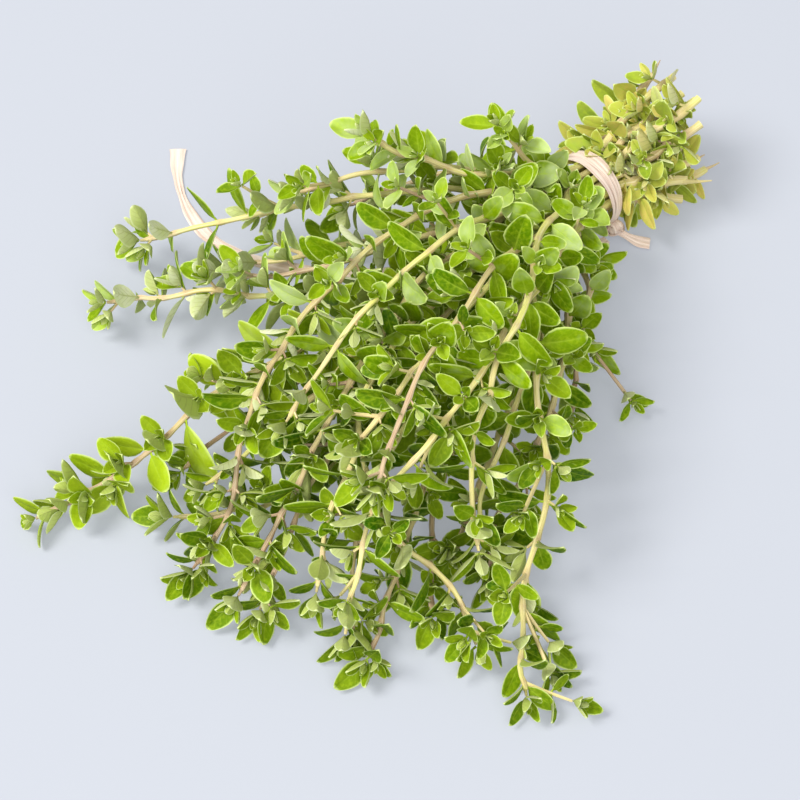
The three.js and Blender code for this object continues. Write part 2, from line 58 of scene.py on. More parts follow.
# Tie
TIE_BORE = 9.75
TIE_THICKNESS = 0.9
TIE_WIDTH = 5.4
TIE_SEGMENTS = 24
KNOT_BELOW = 35 * DEGREE
KNOT_REACH = 12.2
KNOT_HALF = [2.9, 2.4, 2.4]
STRIP_WIDTH = 4.6

# Neck
NECK_HEIGHT = (TIE_BORE + TIE_THICKNESS) * math.cos(math.pi / TIE_SEGMENTS)
STEM_PITCH = 2.84
NECK_ROWS = [3, 4, 5, 6, 5, 4, 3]
NECK_HALF = 5
NECK_REACH = 9
END_LENGTH = [17, 36]
END_SPLAY = [1.5, 2.6]
FAN_PLANE = 45
LENGTHWISE = np.array([1.0, 0, 0])
KNOT = np.array([0, -KNOT_REACH * math.cos(KNOT_BELOW), NECK_HEIGHT - KNOT_REACH * math.sin(KNOT_BELOW)])

# Stems
STEM_RADIUS = 1.2
TIP_RADIUS = 0.65
SHOOT_RADIUS = 0.6
NECK_EASE = 9
STEM_GAP = 1
STEM_FLOOR = 3.4
BEND_ROUNDS = 150
BEND_STEP = 2.5
BEND_SHARE = 0.25
SOFTENING = 3

# Leaves
LEAF_LENGTH = 11
LEAF_WIDTH = 6.4
LEAF_THICKNESS = 0.72
LEAF_FOLD = 0.3
# The corners of a leaf: share of the length, share of the half width
LEAF_OUTLINE = [[0, 0], [0.38, 1], [0.76, 0.68], [1, 0], [0.76, -0.68], [0.38, -1]]
PAIR_SPACING = [6, 12, 16, 19, 22]
PAIR_ANGLES = [48 * DEGREE, 58 * DEGREE, 64 * DEGREE]
PAIR_SCALES = [0.72, 0.85, 1]
ROOT_SHARE = 0.45
ROOT_AHEAD = 0.4
TIP_STUB = 1.8
LEAF_START = 7
OLD_LEAF_SHARE = 0.6
OLD_LEAF_PLACES = [0.2, 0.62]
OLD_LEAF_ANGLE = 85 * DEGREE
SHOOT_RANKS = [2, 4]
SHOOT_SHARE = 0.15
SHOOT_LENGTH = 13
SHOOT_ANGLE = 38 * DEGREE
SHOOT_LEAF_SCALE = 0.72
LEAF_TRIES = 5
LOOSENESS = 0.16
LOOSENING = 0.25
SHRINKING = 0.05
SHOOT_LOOSENESS = 0.6
SHOOT_LOOSENING = 0.3

# Clearance
LEAF_GAP = 2.15
OWN_LEAF_GAP = 1.3
STEM_MARGIN = 0.95
SAMPLE_SHARES = [0.2, 0.36, 0.52, 0.68, 0.84, 1]
SAMPLE_ACROSS = [-0.92, -0.46, 0, 0.46, 0.92]
SAMPLE_STEP = 1.5
ROOT_REACH = 0.4
NEAR = 12
LIFTS = 16
LIFT_STEP = 0.12
LEAST_HEIGHT = 0.1
PRESS_DEPTH = 2
TIE_GAP = 2.6
KNOT_MARGIN = 1.2
STRIP_MARGIN = 1
# The gap to what may be touched, and the owner of what is no sprig's
TOUCH = -1.0
NO_SPRIG = -1

# Keys of the seeded draws, by what is drawn
KEYS = Part(cut_end=1, shoot_chance=2, old_chance=3, pair=10, shoot=20, old=30, shoot_pair=50,
            bow=50, fine=60, stub_chance=61, looks=70, skin=80)

# The layout's origin in the part's frame, from the box of the solid tie
tie_low, tie_high = (np.array(corner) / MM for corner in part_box("tie"))
SHIFT = np.array([tie_low[0] + KNOT_HALF[0], tie_high[1] - NECK_HEIGHT, tie_low[2]])

# The route of each stem, from the tie to its tip
ROUTES = [
    [[-24, 9, 24], [-42, 16, 27], [-55, 26, 26], [-68, 39, 22], [-83, 50, 17], [-98, 62, 12]],
    [[-35, 5, 15], [-60, 7, 16], [-80, 11, 16], [-92, 25, 16], [-103, 40, 14], [-116, 53, 9]],
    [[-32, 1, 32], [-53, 4, 38], [-79, 2, 38], [-98, -2, 35], [-117, -5, 28], [-129, -14, 18],
      [-139, -20, 10], [-150, -22, 5]],
    [[-47, -4, 19], [-77, -1, 20], [-102, 4, 19], [-119, 8, 16], [-139, 8, 10], [-154, 10, 6],
      [-168, 14, 4]],
    [[-56, -14, 24], [-91, -23, 25], [-118, -29, 20], [-134, -35, 11], [-146, -41, 5]],
    [[-52, -17, 13], [-88, -37, 13], [-111, -52, 9], [-127, -62, 6], [-136, -67, 4]],
    [[-51, -12, 29], [-84, -19, 33], [-110, -32, 31], [-118, -48, 25], [-117, -60, 18], [-113, -70, 12],
      [-117, -81, 6]],
    [[-37, -21, 26], [-60, -38, 33], [-71, -54, 30], [-79, -65, 26], [-88, -73, 20], [-101, -81, 11],
      [-110, -88, 7], [-117, -98, 4]],
    [[-30, -24, 13], [-50, -40, 15], [-63, -50, 14], [-78, -56, 10], [-92, -61, 7], [-101, -69, 4]],
    [[-53, -22, 37], [-86, -33, 42], [-101, -36, 40], [-115, -38, 33], [-126, -42, 24], [-136, -49, 11]],
    [[-51, -31, 34], [-80, -44, 39], [-97, -49, 38], [-110, -50, 35], [-122, -52, 27], [-130, -55, 17],
      [-137, -60, 7]],
    [[-50, -7, 33], [-78, -14, 35], [-100, -21, 32], [-116, -26, 26], [-130, -31, 18], [-148, -36, 7]],
    [[-27, 3, 33], [-42, 10, 38], [-50, 17, 43], [-54, 23, 47]],
    [[-16, 2, 26], [-22, 5, 35], [-25, 8, 42]],
    [[-17, -18, 9], [-32, -32, 10], [-45, -41, 7], [-52, -47, 5]],
    [[-33, 16, 8], [-57, 28, 8], [-74, 37, 7], [-84, 46, 5]],
    [[-44, 3, 9], [-74, 4, 9], [-103, 2, 8], [-122, 4, 6], [-134, 2, 5]],
    [[-51, -9, 9], [-90, -20, 9], [-118, -25, 7], [-133, -18, 5], [-144, -8, 4]],
    [[-52, -21, 8], [-85, -38, 8], [-106, -54, 6], [-118, -68, 4]],
    [[-37, -16, 8], [-63, -37, 8], [-85, -49, 7], [-103, -60, 6]],
    [[-45, -8, 38], [-67, -11, 44], [-90, -15, 44], [-106, -17, 38], [-118, -19, 30]],
    [[-44, -20, 38], [-72, -30, 46], [-92, -38, 47], [-107, -44, 42], [-117, -49, 34]],
    [[-36, -18, 36], [-56, -34, 42], [-75, -46, 42], [-90, -53, 36], [-99, -59, 27], [-103, -67, 15]],
    [[-28, -16, 20], [-49, -33, 24], [-70, -46, 24], [-84, -53, 19], [-95, -58, 13], [-98, -67, 7]],
    [[-39, -6, 25], [-66, -10, 28], [-89, -13, 27], [-109, -14, 22], [-122, -12, 15], [-134, -8, 9]],
    [[-44, -16, 24], [-75, -27, 27], [-99, -36, 25], [-117, -43, 17], [-127, -50, 9], [-134, -59, 5]],
    [[-28, 13, 28], [-40, 21, 30], [-55, 29, 31], [-67, 35, 29]],
    [[-14, 9, 22], [-24, 20, 20], [-36, 30, 16], [-50, 36, 12]],
    [[-40, 3, 23], [-61, 9, 25], [-77, 16, 23], [-88, 27, 19], [-92, 36, 15]],
    [[-27, -22, 5], [-47, -37, 6], [-61, -48, 5]],
]

# The two free ends of the strip: their routes from the knot, and at shares of their length the width, the
# crumple and the roll in degrees
TAIL_ROUTE = [
    [-3.4, -10.4, 2], [-5.2, -10.2, 1.9], [-7.5, -9.4, 1.1], [-10, -8, 0.55], [-13.5, -5.6, 0.45],
    [-18, -2.4, 0.45], [-25, 2, 0.45], [-32, 6, 0.45], [-40, 11, 0.45], [-48, 16.5, 0.45],
    [-56, 22.5, 0.45], [-63, 29, 0.45], [-69, 36, 0.45], [-74, 43.5, 0.45], [-77.5, 52, 0.45],
    [-79, 61, 0.45], [-77.5, 70, 0.45], [-74.5, 78, 0.45], [-70, 85.5, 0.45], [-64.5, 92, 0.45],
]
TAIL_WIDTHS = [(0, 2.6), (0.08, 3.2), (0.25, 4.4), (0.6, 4.2), (0.72, 3.2), (0.8, 4.0), (0.88, 2.0),
               (0.93, 2.6), (1, STRIP_WIDTH)]
TAIL_CRUMPLES = [(0, 0.12), (0.3, 0.05), (0.65, 0.06), (0.75, 0.12), (0.88, 0.16), (1, 0.05)]
TAIL_ROLL = [(0, 0), (1, 0)]
STUB_ROUTE = [[0, -10.5, 3.4], [1.2, -13.2, 2.4], [2.8, -15.8, 1.3], [4.8, -18.2, 0.9]]
STUB_WIDTHS = [(0, 2.2), (0.35, 2.1), (0.7, 3.3), (1, 3.7)]
STUB_CRUMPLES = [(0, 0.22), (0.5, 0.16), (1, 0.08)]
STUB_ROLL = [(0, 30), (1, 8)]


def place(point):
    """A point of the layout, in metres in the part's frame."""
    return tuple((np.array(point, float) + SHIFT) * MM)


def draws(*keys):
    """Draws that are the same on every run: each is a least value and a share in [0, 1) of some more."""
    mask = 0xFFFFFFFF
    state = 2166136261
    for key in keys:
        state = ((state ^ (key + 1)) * 16777619) & mask

    def draw(least=0, more=1):
        """The next draw."""
        nonlocal state
        state = (state + 0x6D2B79F5) & mask
        bits = ((state ^ (state >> 15)) * (state | 1)) & mask
        bits ^= (bits + (((bits ^ (bits >> 7)) * (bits | 61)) & mask)) & mask
        return least + more * ((bits ^ (bits >> 14)) / 4294967296)

    return draw


def swing(draw, width):
    """A draw to both sides of zero, over a width."""
    return (draw() - 0.5) * width


def between(ends, share):
    """What lies at a share of the way between two ends."""
    return ends[0] + (ends[1] - ends[0]) * share


def entry(items, index):
    """The item at an index, or the last where there are fewer."""
    return items[min(index, len(items) - 1)]


def unit(vector):
    """A direction of length 1."""
    return vector / np.linalg.norm(vector)


def units(vectors):
    """Directions of length 1, one a row."""
    return vectors / np.linalg.norm(vectors, axis=1)[:, None]


# ---- Lines of points ----

def soften(points):
    """Rounds the corners of a line: each pass cuts every corner at its quarters."""
    line = np.array(points, float)
    for _ in range(SOFTENING):
        cut = [line[0]]
        for a, b in zip(line, line[1:]):
            cut += [a + (b - a) * 0.25, a + (b - a) * 0.75]
        line = np.array(cut + [line[-1]])
    return line


def ways_along(points):
    """The way walked along a line at each of its points."""
    return np.concatenate([[0], np.cumsum(np.linalg.norm(np.diff(points, axis=0), axis=1))])


def point_at(points, ways, way):
    """The point a given way along a line."""
    i = 1
    while i < len(points) - 1 and ways[i] < way:
        i += 1
    return points[i - 1] + (points[i] - points[i - 1]) * (way - ways[i - 1]) / (ways[i] - ways[i - 1])


def smooth_line(points, step):
    """A smooth curve through points, with a point about every step, and the stop that each lies after."""
    points = np.array(points, float)
    ends = np.vstack([2 * points[0] - points[1], points, 2 * points[-1] - points[-2]])
    line, after = [], []
    for i in range(len(points) - 1):
        a, b, c, d = ends[i:i + 4]
        knots = np.cumsum([0] + [math.sqrt(np.linalg.norm(q - p)) for p, q in ((a, b), (b, c), (c, d))])
        count = max(1, round(np.linalg.norm(c - b) / step))
        for share in np.arange(count) / count:
            t = between(knots[1:3], share)
            low = [p + (q - p) * (t - s) / (e - s) for p, q, s, e in
                   ((a, b, knots[0], knots[1]), (b, c, knots[1], knots[2]), (c, d, knots[2], knots[3]))]
            mid = [low[0] + (low[1] - low[0]) * (t - knots[0]) / (knots[2] - knots[0]),
                   low[1] + (low[2] - low[1]) * (t - knots[1]) / (knots[3] - knots[1])]
            line.append(mid[0] + (mid[1] - mid[0]) * share)
            after.append(i + share)
    return np.array(line + [points[-1]]), np.array(after + [len(points) - 1])


# ---- Stems ----

def neck_places():
    """Places in the neck, row by row from the bottom."""
    row_height = STEM_PITCH * math.sqrt(3) / 2
    middle = (len(NECK_ROWS) - 1) / 2
    return [[((i - (count - 1) / 2) * STEM_PITCH, NECK_HEIGHT + (row - middle) * row_height)
             for i in range(count)] for row, count in enumerate(NECK_ROWS)]


def aim(route):
    """Where a route crosses the plane of the fan, or would if it were long enough."""
    beyond = [i for i, point in enumerate(route) if point[0] <= -FAN_PLANE]
    i = beyond[0] if beyond else 0
    start, end = (route[i - 1], route[i]) if i > 0 else ([0, 0, NECK_HEIGHT], route[0])
    share = (-FAN_PLANE - start[0]) / (end[0] - start[0])
    return between((start[1], end[1]), share), between((start[2], end[2]), share)


def assign_places():
    """Gives each route a place in the neck: low ones at the bottom, each row in the order of its fan."""
    aims = [aim(route) for route in ROUTES]
    by_height = sorted(range(len(ROUTES)), key=lambda i: (aims[i][1], i))
    places, filled = {}, 0
    for row in neck_places():
        chosen = sorted(by_height[filled:filled + len(row)], key=lambda i: (aims[i][0], i))
        places.update(zip(chosen, row))
        filled += len(row)
    return places


def stem_path(index, place):
    """The path of a stem, from its cut end through the neck to its tip."""
    draw = draws(index, KEYS.cut_end)
    length = between(END_LENGTH, draw())
    splay = between(END_SPLAY, draw())
    y, z = place
    end_height = max(NECK_HEIGHT + (z - NECK_HEIGHT) * splay, STEM_FLOOR)
    neck = [[NECK_REACH, y, z], [-NECK_REACH, y, z]]
    return soften([[length, y * splay, end_height], *neck, *ROUTES[index]])


def stem_stops(path):
    """A stem's stops, from the cut end: at each pair of leaves, at both ends and on both sides of the tie."""
    ways = ways_along(path)
    total = ways[-1]

    def way_to(x):
        """The way from the cut end to where the stem passes x."""
        i = int(np.argmax(path[:, 0] < x))
        return ways[i - 1] + (ways[i] - ways[i - 1]) * (path[i - 1, 0] - x) / (path[i - 1, 0] - path[i, 0])

    neck_back, neck_front = way_to(NECK_HALF), way_to(-NECK_HALF)
    stops = [Part(way=total)]
    way, rank = total - TIP_STUB, 0
    while way > neck_front + LEAF_START:
        stops.append(Part(way=way, rank=rank))
        way -= entry(PAIR_SPACING, rank)
        rank += 1
    if stops[-1].way > neck_front + 2 * NECK_EASE:
        stops.append(Part(way=neck_front + NECK_EASE))
    stops += [Part(way=neck_front, fixed=True), Part(way=neck_back, fixed=True)]
    stops += [Part(way=neck_back * (1 - share), old=old) for old, share in enumerate(OLD_LEAF_PLACES)]
    stops.append(Part(way=0))
    stops.reverse()
    for stop in stops:
        stop.point = point_at(path, ways, stop.way)
        stop.radius = between([STEM_RADIUS, TIP_RADIUS], stop.way / total)
    return stops


def bend_clear(lines):
    """Bends the stems clear of each other and of the floor. In the neck they stay straight."""
    stops = [stop for line in lines for stop in line]
    points = np.array([stop.point for stop in stops])
    loose = np.array([not hasattr(stop, "fixed") for stop in stops])
    owners = np.repeat(np.arange(len(lines)), [len(line) for line in lines])
    starts = np.flatnonzero(owners[:-1] == owners[1:])
    radii = np.array([stop.radius for stop in stops])
    reach = (2 * STEM_RADIUS + STEM_GAP) ** 2
    for _ in range(BEND_ROUNDS):
        chords = points[starts + 1] - points[starts]
        counts = np.ceil(np.linalg.norm(chords, axis=1) / BEND_STEP).astype(int)
        span = np.repeat(np.arange(len(starts)), counts)
        step = np.arange(len(span)) - np.repeat(np.cumsum(counts) - counts, counts)
        share = (step + 0.5) / counts[span]
        spots = points[starts[span]] + chords[span] * share[:, None]
        owner, radius = owners[starts[span]], radii[starts[span] + 1]
        coarse = spots.astype(np.float32)
        square = (coarse ** 2).sum(1)
        near = square[:, None] + square[None, :] - 2 * coarse @ coarse.T < reach + 0.5
        a, b = np.nonzero(near)
        kept = owner[a] < owner[b]
        a, b = a[kept], b[kept]
        away = spots[a] - spots[b]
        apart = np.linalg.norm(away, axis=1)
        least = radius[a] + radius[b] + STEM_GAP
        kept = apart < least
        a, b = a[kept], b[kept]
        push = away[kept] * (BEND_SHARE * (least[kept] - apart[kept]) / apart[kept])[:, None]
        pushes = np.zeros_like(points)
        for spot, way in ((a, push), (b, -push)):
            np.add.at(pushes, starts[span[spot]], way * (1 - share[spot])[:, None])
            np.add.at(pushes, starts[span[spot]] + 1, way * share[spot][:, None])
        points[loose] += pushes[loose]
        points[loose, 2] = np.maximum(points[loose, 2], STEM_FLOOR)
    for stop, point in zip(stops, points):
        stop.point = point


def with_frames(stops):
    """Adds to each stop of a line its direction, and a side direction that doesn't twist on the way."""
    side = np.array([0.3, 0.4, 1.0])
    for i, stop in enumerate(stops):
        stop.along = unit(entry(stops, i + 1).point - stops[max(i - 1, 0)].point)
        side = unit(side - stop.along * (side @ stop.along))
        stop.side = side
    return stops


def short_stem(stop, ends):
    """The stops of a shoot or stalk that grows at a stop, from its points and radii."""
    return with_frames([Part(point=point, radius=radius, way=stop.way) for point, radius in ends])


# ---- Leaves ----

def outward(stop, turn, angle):
    """Direction at an angle from a stem's own, on a side given by a turn about the stem."""
    across = np.cross(stop.along, stop.side)
    return (stop.along * math.cos(angle) + stop.side * (math.cos(turn) * math.sin(angle))
            + across * (math.sin(turn) * math.sin(angle)))


def leaf_points(leaf, spots):
    """Points of a leaf's middle surface, from shares of its length and of its half width on either side."""
    share, across = np.array(spots, float).T
    half = leaf.width / 2
    return (leaf.root + np.outer(share * leaf.length, leaf.direction) + np.outer(across * half, leaf.side)
            + np.outer(np.abs(across) * half * LEAF_FOLD, leaf.top))


def make_leaf(stop, turn, angle, scale):
    """A leaf from a stop of a stem, its upper face toward the stem's tip, lifted until it clears the floor.

    Where it can't clear the floor there is none.
    """
    leaf = Part(length=LEAF_LENGTH * scale, width=LEAF_WIDTH * scale, way=stop.way,
                solid=False, young=False, old=False)
    direction = outward(stop, turn, angle)
    for _ in range(LIFTS):
        leaf.direction = direction
        leaf.root = stop.point + stop.along * ROOT_AHEAD + direction * (ROOT_SHARE * stop.radius)
        leaf.top = unit(stop.along - direction * (stop.along @ direction))
        leaf.side = np.cross(direction, leaf.top)
        if leaf_points(leaf, LEAF_OUTLINE)[:, 2].min() > LEAST_HEIGHT + LEAF_THICKNESS / 2:
            return leaf
        direction = unit(direction + stop.along * (LIFT_STEP / 2) + UP * LIFT_STEP)
    return None


def leaf_profile(share):
    """How wide a leaf's solid is, as a share of its full width, at a share of its length."""
    i = next(k for k, (reach, _) in enumerate(LEAF_OUTLINE) if reach >= share)
    (start, wide), (end, following) = LEAF_OUTLINE[i - 1:i + 1]
    return wide + (following - wide) * (share - start) / (end - start)


LEAF_SPOTS = [(share, across * leaf_profile(share)) for share in SAMPLE_SHARES for across in SAMPLE_ACROSS]
ROOT_SPOTS = sum(share <= ROOT_REACH for share in SAMPLE_SHARES) * len(SAMPLE_ACROSS)


class Taken:
    """Points that stand for all that is placed, with the distance that others keep from each."""

    def __init__(self):
        """Nothing is placed yet."""
        self.points, self.gaps, self.owners = np.zeros((0, 3)), np.zeros((0, 2)), np.zeros(0, int)

    def add(self, points, gap, own_gap=TOUCH, owner=NO_SPRIG):
        """Takes points, with the gap that others keep from them and the gap that their own sprig keeps."""
        points = np.atleast_2d(points)
        self.points = np.vstack([self.points, points])
        self.gaps = np.vstack([self.gaps, np.tile([float(gap), float(own_gap)], (len(points), 1))])
        self.owners = np.append(self.owners, np.full(len(points), owner))

    def clears(self, points, owner, extra=0.0, ease=1.0):
        """Whether points stand clear. Gaps to other sprigs are wider by an extra, and the ease scales all."""
        centre = points[len(points) // 2]
        close = np.flatnonzero(((self.points - centre) ** 2).sum(1) < NEAR ** 2)
        own = self.owners[close] == owner
        gaps = np.where(own, self.gaps[close, 1], self.gaps[close, 0] + extra) * ease
        apart = np.linalg.norm(points[:, None] - self.points[close][None], axis=2)
        return bool((apart > gaps).all())


taken = Taken()


def stem_marks(stops):
    """Points along a stem, span by span, with the distance that a leaf's points keep from them."""
    for before, stop in zip(stops, stops[1:]):
        count = math.ceil(np.linalg.norm(stop.point - before.point) / SAMPLE_STEP)
        shares = (np.arange(count) + 0.5) / count
        yield before.point + (stop.point - before.point) * shares[:, None], stop.radius + STEM_MARGIN


def grow_leaf(sprig, stop, turn, angle, scale, keys):
    """Grows one leaf at a stop, in the first of a few attitudes that stands clear."""
    for attempt in range(LEAF_TRIES):
        draw = draws(sprig.index, *keys, attempt)
        looseness = LOOSENESS + LOOSENING * attempt
        turned = turn + swing(draw, 2 * looseness)
        angled = angle + swing(draw, looseness)
        leaf = make_leaf(stop, turned, angled, scale * draw(0.92, 0.2) * (1 - SHRINKING * attempt))
        if leaf is None:
            continue
        samples = leaf_points(leaf, LEAF_SPOTS)
        if taken.clears(samples, sprig.index):
            taken.add(samples[:ROOT_SPOTS], LEAF_GAP, owner=sprig.index)
            taken.add(samples[ROOT_SPOTS:], LEAF_GAP, OWN_LEAF_GAP, sprig.index)
            leaf.solid, leaf.old = True, hasattr(stop, "old")
            sprig.leaves.append(leaf)
            return


def grow_pair(sprig, stop, turn, angle, scale, keys):
    """Grows an opposite pair of leaves."""
    for half in (0, 1):
        grow_leaf(sprig, stop, turn + half * math.pi, angle, scale, [*keys, half])


def grow_shoot(sprig, stop, turn, keys):
    """Grows a short leafy shoot in the angle of a leaf, where there is room for it."""
    for attempt in range(LEAF_TRIES):
        draw = draws(sprig.index, *keys, attempt)
        turned = turn + swing(draw, SHOOT_LOOSENESS + SHOOT_LOOSENING * attempt)
        heading = outward(stop, turned, SHOOT_ANGLE + (draw() - 0.3) * 0.6)
        length = SHOOT_LENGTH * draw(0.8, 0.5)
        stops = short_stem(stop, [(stop.point + heading * reach, SHOOT_RADIUS)
                                  for reach in (0, length, length + TIP_STUB)])
        marks = list(stem_marks(stops))
        spots = np.vstack([points for points, _ in marks])
        if stops[2].point[2] >= STEM_FLOOR and taken.clears(spots, sprig.index, SHOOT_RADIUS):
            for points, gap in marks:
                taken.add(points, gap, owner=sprig.index)
            sprig.shoots.append(stops)
            grow_pair(sprig, stops[1], turn, PAIR_ANGLES[0], SHOOT_LEAF_SCALE, [*keys, KEYS.shoot_pair])
            return


def pair_turn(rank):
    """The turn about a stem at which a pair of leaves grows: each stands a quarter turn from the next."""
    return math.pi / 4 + rank * math.pi / 2


def outer_turn(stop):
    """The turn of the flat of a stem that faces away from the middle of the bunch."""
    away = np.array([0, stop.point[1], stop.point[2] - NECK_HEIGHT])
    across = np.cross(stop.along, stop.side)
    turn = math.atan2(away @ across, away @ stop.side)
    return (math.floor(turn / (math.pi / 2)) + 0.5) * math.pi / 2


def mark_tie():
    """Marks the tie and its free ends as taken, so that no leaf grows into them."""
    radius = TIE_BORE + TIE_THICKNESS / 2
    for k in range(TIE_SEGMENTS):
        turn = 2 * math.pi * k / TIE_SEGMENTS
        for x in (-TIE_WIDTH / 2, 0, TIE_WIDTH / 2):
            taken.add([x, radius * math.cos(turn), NECK_HEIGHT + radius * math.sin(turn)], TIE_GAP)
    taken.add(KNOT, KNOT_HALF[0] + KNOT_MARGIN)
    for route in (TAIL_ROUTE, STUB_ROUTE):
        line, _ = smooth_line(route, SAMPLE_STEP)
        taken.add(line, STRIP_WIDTH / 2 + STRIP_MARGIN)


def grow_sprigs():
    """Lays out every sprig: first the stems, then leaves and shoots from the tips inward, turn by turn."""
    places = assign_places()
    lines = [stem_stops(stem_path(index, places[index])) for index in range(len(ROUTES))]
    bend_clear(lines)
    sprigs = [Part(index=index, stops=with_frames(stops), leaves=[], shoots=[], stalks=[])
              for index, stops in enumerate(lines)]
    for sprig in sprigs:
        for points, gap in stem_marks(sprig.stops):
            taken.add(points, gap, owner=sprig.index)
    for rank in range(max(len(sprig.stops) for sprig in sprigs)):
        for sprig in sprigs:
            for stop in (stop for stop in sprig.stops if getattr(stop, "rank", None) == rank):
                turn = pair_turn(rank)
                grow_pair(sprig, stop, turn, entry(PAIR_ANGLES, rank), entry(PAIR_SCALES, rank),
                          [KEYS.pair, rank])
                if rank in SHOOT_RANKS and draws(sprig.index, KEYS.shoot_chance, rank)() < SHOOT_SHARE:
                    grow_shoot(sprig, stop, turn, [KEYS.shoot, rank])
    for sprig in sprigs:
        for stop in (stop for stop in sprig.stops if hasattr(stop, "old")):
            if draws(sprig.index, KEYS.old_chance, stop.old)() < OLD_LEAF_SHARE:
                grow_leaf(sprig, stop, outer_turn(stop), OLD_LEAF_ANGLE, 1, [KEYS.old, stop.old])
    return sprigs


# ---- Fine growth ----
# Scales are shares of a full leaf, and an ease is the share of the gaps that is kept. A pair is a draw: its
# least value, and how much more there may be.
NODE_SPACING = 8
END_SPACING = 5
FINE_TRIES = 5
FINE_LOOSENESS = 0.3
FINE_TURNING = 0.4
FINE_LEANING = 0.2
FINE_SHRINKING = 0.08
FINE_EASE = 0.42
LIME_EASE = 0.3
PAST_TIE_EASE = 0.25
FINE_SPOTS = [(share, across * 0.75 * leaf_profile(share))
              for share in (0.35, 0.62, 0.9) for across in (-1, 0, 1)]
LIME_SPRIGS = {3}
ROSY_SPRIGS = {2, 3, 16, 18}
FULLNESS = {0: 0.65, 3: 1.1, 4: 0.85, 5: 0.8, 6: 0.8, 7: 0.65, 8: 0.8, 12: 0.8, 13: 0.6, 14: 0.45, 15: 0.6}
LOWER_SPRIGS = range(16, 30)
LOWER_FULLNESS = 0.55
SKIPPED = 0.15
PAST_TIE_LEAVES = 0.66
SCALE_AT_TIP = 1.02
FULL_SCALE = 1.12
LIME_FULL_SCALE = 1.36
GROWN_REACH = 40
TIE_REACH = 70
SMALLER_BY_TIE = 0.28
SHADE_BY_TIE = 0.6
LIME_LIGHT = 1.3
PAST_TIE_LIGHT = 0.6
LIGHT_WAY = np.array([-0.35, -0.36, 0.86])
FILL_DEGREES = (50, 35)
FILL_SIZES = (0.78, 0.3)
LIME_DEGREES = (44, 24)
PAST_TIE_DEGREES = (30, 95)
PAST_TIE_SCALES = (0.42, 0.48)
BUD_SHARE = 0.64
PAST_TIE_BUDS = 0.45
BUD_DEGREES = (40, 20)
BUD_REACHES = (1.6, 2.4)
BUD_SCALES = (0.52, 0.36)
BUD_CLEARANCE = 1.1
BUD_FLOOR = 1.5
WHORL_SCALES = (1, 0.68, 0.42)
WHORL_DEGREES = (62, 12)
WHORL_STEEPER_DEGREES = 21
WHORL_RISE = 0.7
TIP_SCALES = (0.7, 0.22)
LIME_TIP_SCALES = (0.34, 0.22)
SHOOT_TIP_SCALES = (0.55, 0.1)
FINE_SHOOT_SHARE = 0.16
FINE_SHOOT_DEGREES = (36, 22)
FINE_SHOOT_LENGTHS = (5, 8)
FINE_SHOOT_LEAF_SCALES = (0.5, 0.2)
FINE_SHOOT_LEAF_ANGLE = 1.1
FINE_SHOOT_LEAF_EASE = 0.3
FINE_SHOOT_TIP_SCALES = (0.58, 0.16)
FINE_SHOOT_RISE = 0.08
FINE_SHOOT_TAPER = 0.35
FINE_SHOOT_FLOOR = 2
FINE_SHOOT_EXTRA = -0.6
FINE_SHOOT_EASE = 0.8
PALE_STUB_SHARE = 0.2
PALE_STUB_LENGTHS = (5, 4)
PALE_STUB_RADIUS = 0.8
LINE_STEP = 2.1
BOW_SHARE = 0.09
BOW_MOST = 1.5


def face_light(leaf, share):
    """Turns a leaf about its own length, its upper face more to the light."""
    wish = leaf.top + LIGHT_WAY * share
    leaf.top = unit(wish - leaf.direction * (leaf.direction @ wish))
    leaf.side = np.cross(leaf.direction, leaf.top)


def square_to(side, along):
    """The side direction squared to the direction along a stem."""
    return unit(side - along * (side @ along))


def at_line(sprig, after):
    """A stop on the smooth line of a sprig's stem, at a stop number with a share of the span after it."""
    line = sprig.line
    i = int(np.clip(np.searchsorted(line.after, after) - 1, 0, len(line.after) - 2))
    share = (after - line.after[i]) / (line.after[i + 1] - line.after[i])
    stop = Part(**{key: between(getattr(line, key)[i:i + 2], share)
                   for key in ("point", "along", "side", "radius", "way")})
    stop.along = unit(stop.along)
    stop.side = square_to(stop.side, stop.along)
    return stop


def bowed(points, after, stops, draw):
    """Bows a stem a little to one side between each two of its stops, as it bends from node to node."""
    for i, (stop, following) in enumerate(zip(stops, stops[1:])):
        turn = 2 * math.pi * draw()
        reach = min(BOW_SHARE * np.linalg.norm(following.point - stop.point), BOW_MOST) * draw(0.4, 0.6)
        if not (hasattr(stop, "fixed") and hasattr(following, "fixed")):
            share = np.clip(after - i, 0, 1)
            points = points + np.outer(reach * np.sin(np.pi * share), outward(stop, turn, math.pi / 2))
    return points


def stem_line(stops, step, bow=None):
    """The smooth line of a stem through its stops, with directions, sides and radii."""
    points, after = smooth_line([stop.point for stop in stops], step)
    if bow is not None:
        points = bowed(points, after, stops, bow)
    along = units(np.gradient(points, axis=0))
    side, sides = stops[0].side, []
    for way in along:
        side = square_to(side, way)
        sides.append(side)
    places = np.arange(len(stops))
    radius = np.interp(after, places, [stop.radius for stop in stops])
    ways = np.interp(after, places, [stop.way for stop in stops])
    return Part(point=points, after=after, along=along, side=np.array(sides), radius=radius, way=ways)


